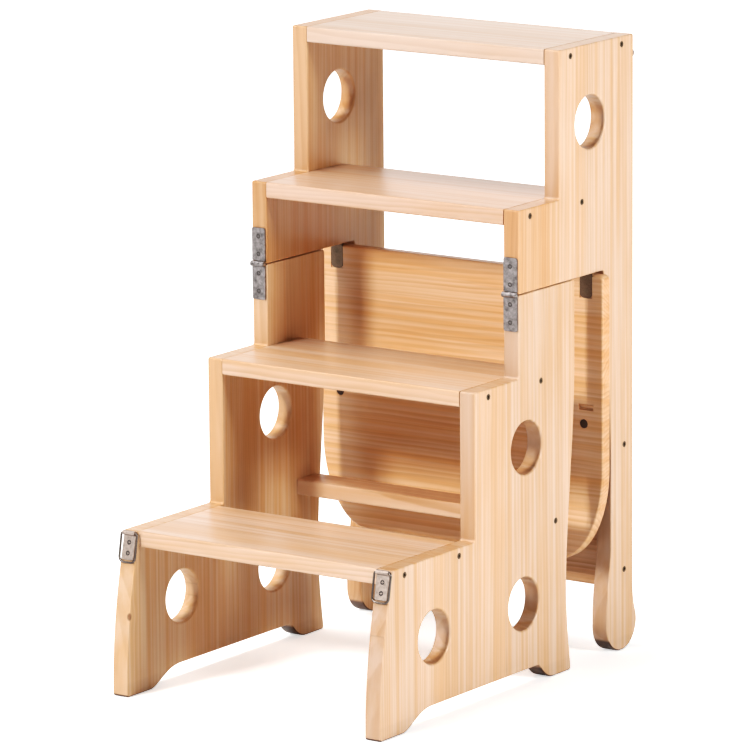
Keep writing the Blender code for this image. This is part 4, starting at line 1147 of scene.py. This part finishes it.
leaf_screws = {"base": [], "upper": [], "seat": []}
for word, side in SIDES:
    across = side * PANEL_MIDDLE
    for part, body in (("lower", "base"), ("upper", "upper")):
        node = f"front_hinge_{part}_leaf_{word}"
        polished(node, zinc, body, "grey_steel")
        low, high, _ = box_of(node)
        length = high.z - low.z
        face = high.y - LEAF_THICKNESS
        for share in FRONT_SCREW_SHARES:
            height = low.z + length * share if part == "lower" else high.z - length * share
            leaf_screws[body].append(((across, face - FRONT_SCREW_SUNK, height), (0, -1, 0)))
    pin(f"front_hinge_pin_{word}", bright_steel, "base", "grey_steel")
    for part, body in (("board", "seat"), ("panel", "upper")):
        polished(f"seat_hinge_{part}_leaf_{word}", bronze, body, "bronze")
    pin(f"seat_hinge_pin_{word}", bronze, "upper", "bronze")
    low, high, middle = box_of(f"seat_hinge_board_leaf_{word}")
    for share in FLAP_SCREW_SHARES:
        place = (across, middle.y + FLAP_SCREW_SUNK, low.z + (high.z - low.z) * share)
        leaf_screws["seat"].append((place, (0, -1, 0)))
    low, high, middle = box_of(f"seat_hinge_panel_leaf_{word}")
    for share in FLAP_SCREW_SHARES:
        place = (across, low.y + (high.y - low.y) * share, middle.z + FLAP_SCREW_SUNK)
        leaf_screws["upper"].append((place, (0, 0, -1)))
print("hinges polished, leaf screws:", {body: len(found) for body, found in leaf_screws.items()})

# %% [markdown]
# ## Catches and buffers
# At each front corner of the first step a nickelled plate carries a loop of wire. The loop hangs
# against the wood as a step and is swung over a headed stud when the chair is made. A loop is a
# rectangle of curve with soft corners, tighter at the barrel, swept with a circle. Studs and
# rubber buffers are turned, as the pins are.

# %% The bail recipe
WIRE_RADIUS, WIRE_SIDES, BAIL_CORNER_STEPS = 1.2 * MM, 16, 9
BAIL_SIZES = {
    "Width": 21.6 * MM, "Reach": 32.8 * MM,
    "Barrel_Corner": 2.6 * MM, "Free_Corner": 6 * MM, "Wire": WIRE_RADIUS,
}

bail_recipe = Recipe("bail", **BAIL_SIZES, Turn=ORIGIN, Place=ORIGIN, Material=None)
height_of_corner = bail_recipe.parts(bail_recipe.node("GeometryNodeInputPosition"))[1]
at_barrel = height_of_corner.math("GREATER_THAN", 0)
corner = at_barrel * bail_recipe["Barrel_Corner"] + (1 - at_barrel) * bail_recipe["Free_Corner"]
loop = bail_recipe.soft_rectangle(bail_recipe["Width"], bail_recipe["Reach"], corner, BAIL_CORNER_STEPS)
hung = bail_recipe.moved(loop, Translation=bail_recipe.vector(0, bail_recipe["Reach"] * -0.5, 0))
ring = {"Resolution": WIRE_SIDES, "Radius": bail_recipe["Wire"]}
wire = bail_recipe.node("GeometryNodeCurvePrimitiveCircle", {"mode": "RADIUS"}, ring)
bail = bail_recipe.swept(hung, wire, capped=False)
bail_recipe.finish(bail_recipe.moved(bail, Rotation=bail_recipe["Turn"], Translation=bail_recipe["Place"]))
print("inputs of the bail recipe:", list(bail_recipe.keys))

# %% Bails, plates, studs and buffers
PLATE_TILT = math.radians(12.99)
PLATE_SCREWS, PLATE_SCREW_SUNK = (10.5 * MM, 22.5 * MM), 1.4 * MM
STUD_SHANK, STUD_COLLAR, COLLAR_START, STUD_SIDES = 2.0 * MM, 2.5 * MM, 14.3 * MM, 48
HEAD_BACK = 3.0 * MM
# How far each point of a stud's head lies behind its face and inside its rim.
HEAD_OUTLINE = [
    (HEAD_BACK, 0.3 * MM), (2.7 * MM, 0), (0.9 * MM, 0),
    (0.45 * MM, 0.14 * MM), (0.12 * MM, 0.5 * MM), (0, 1.0 * MM),
]
# How far each point of a buffer lies behind its face, and its share of the radius.
BUFFER_FACE_SHARES = [(0, 0.55), (0.12 * MM, 0.8), (0.45 * MM, 0.97), (0.8 * MM, 1)]

along_plate = Vector((0, -math.sin(PLATE_TILT), -math.cos(PLATE_TILT)))
out_of_plate = Vector((0, -math.cos(PLATE_TILT), math.sin(PLATE_TILT)))
joints = {joint["name"]: joint for joint in frame["joints"]}
for word, side in SIDES:
    node = f"catch_bail_{word}"
    axis = Vector(joints[f"bail_{word}_swing"]["pos_m"])
    low, _, _ = box_of(node)
    lean = math.atan2(axis.y - (low.y + WIRE_RADIUS), axis.z - (low.z + WIRE_RADIUS))
    values = {"Turn": (QUARTER_TURN - lean, 0.0, 0.0), "Place": axis, "Material": wire_steel}
    bail = bail_recipe.made(f"{node}_finished", points_mesh(f"bail_{word}", [axis]), **values)
    settle(bail, f"bail_{word}", "wire_steel", node)

    polished(f"catch_plate_{word}", nickel, "base", "nickel")
    for run in PLATE_SCREWS:
        place = axis + along_plate * run - out_of_plate * PLATE_SCREW_SUNK
        leaf_screws["base"].append((place, tuple(out_of_plate)))

    low, high, _ = box_of(f"catch_stud_{word}")
    length, head = high.y - low.y, (high.z - low.z) / 2
    profile = [(0, STUD_SHANK), (COLLAR_START, STUD_SHANK), (COLLAR_START, STUD_COLLAR)]
    profile.append((length - HEAD_BACK, STUD_COLLAR))
    profile += [(length - behind_face, head - inside) for behind_face, inside in HEAD_OUTLINE]
    turned(f"catch_stud_{word}", profile, "Y", nickel, "upper", "nickel", STUD_SIDES)

    low, high, _ = box_of(f"seat_buffer_{word}")
    length, radius = high.y - low.y, (high.z - low.z) / 2
    profile = [(depth, radius * share) for depth, share in BUFFER_FACE_SHARES] + [(length, radius)]
    turned(f"seat_buffer_{word}", profile, "Y", rubber, "seat", "buffer_rubber")
print("catches, studs and buffers on both sides")

# %% Set the small screws
for body, found in leaf_screws.items():
    points = points_mesh(f"{body}_leaf_screw_points", *zip(*found))
    steel = brown_steel if body == "seat" else dull_steel
    made = leaf_screw.made(f"{body}_leaf_screws", points, Material=steel)
    settle(made, body, "nickel")
    print(body, "leaf screws:", len(found), "triangles:", triangles(made.data))

# %% [markdown]
# ## The floor
# The photograph is a cut-out on pure white. The floor is therefore like a sheet of opal acrylic
# that is lit from below: it gives off a little light, more of it far from the chair, where the
# lamps don't reach. A Light Path node lets it shine brighter still where the camera sees it
# directly, so it turns white without lighting the chair from below, and only a faint shadow is
# left under the feet.

# %% Lay the floor
FLOOR_REACH, FLOOR_DROP = 25.0, 0.05 * MM
NEAR_GLOW, FAR_GLOW, SEEN_GLOW = 0.06, (0.10, 0.24), 0.75
BEHIND_CHAIR, FROM_CHAIR = (0.0, 1.5), (0.6, 2.4)

floor_finish = Finish(
    "opal_floor",
    Base_Color=(0.90, 0.90, 0.90, 1),
    Roughness=0.8,
    Specular_IOR_Level=0.1,
    Emission_Strength=1.0,
)
sideways, backward, _ = floor_finish.parts(floor_finish.node("ShaderNodeTexCoord", output="Object"))
behind = backward * math.cos(AZIMUTH) - sideways * math.sin(AZIMUTH)
away = (sideways * sideways + backward * backward).math("SQRT")
seen = floor_finish.node("ShaderNodeLightPath", output="Is Camera Ray")
far_glow = behind.smooth(*BEHIND_CHAIR).between(*FAR_GLOW)
glow = NEAR_GLOW + far_glow * away.smooth(*FROM_CHAIR) + SEEN_GLOW * seen
floor_finish.set(Emission_Color=floor_finish.mix(glow, (0, 0, 0), WHITE))
floor_mesh = bpy.data.meshes.new("floor")
floor_corners = [(x * FLOOR_REACH, y * FLOOR_REACH, 0) for x, y in ((-1, -1), (1, -1), (1, 1), (-1, 1))]
floor_mesh.from_pydata(floor_corners, [], [(0, 1, 2, 3)])
floor = link("floor", floor_mesh, floor_finish.material)
floor.location.z = -FLOOR_DROP
print("floor laid,", 2 * FLOOR_REACH, "m square")
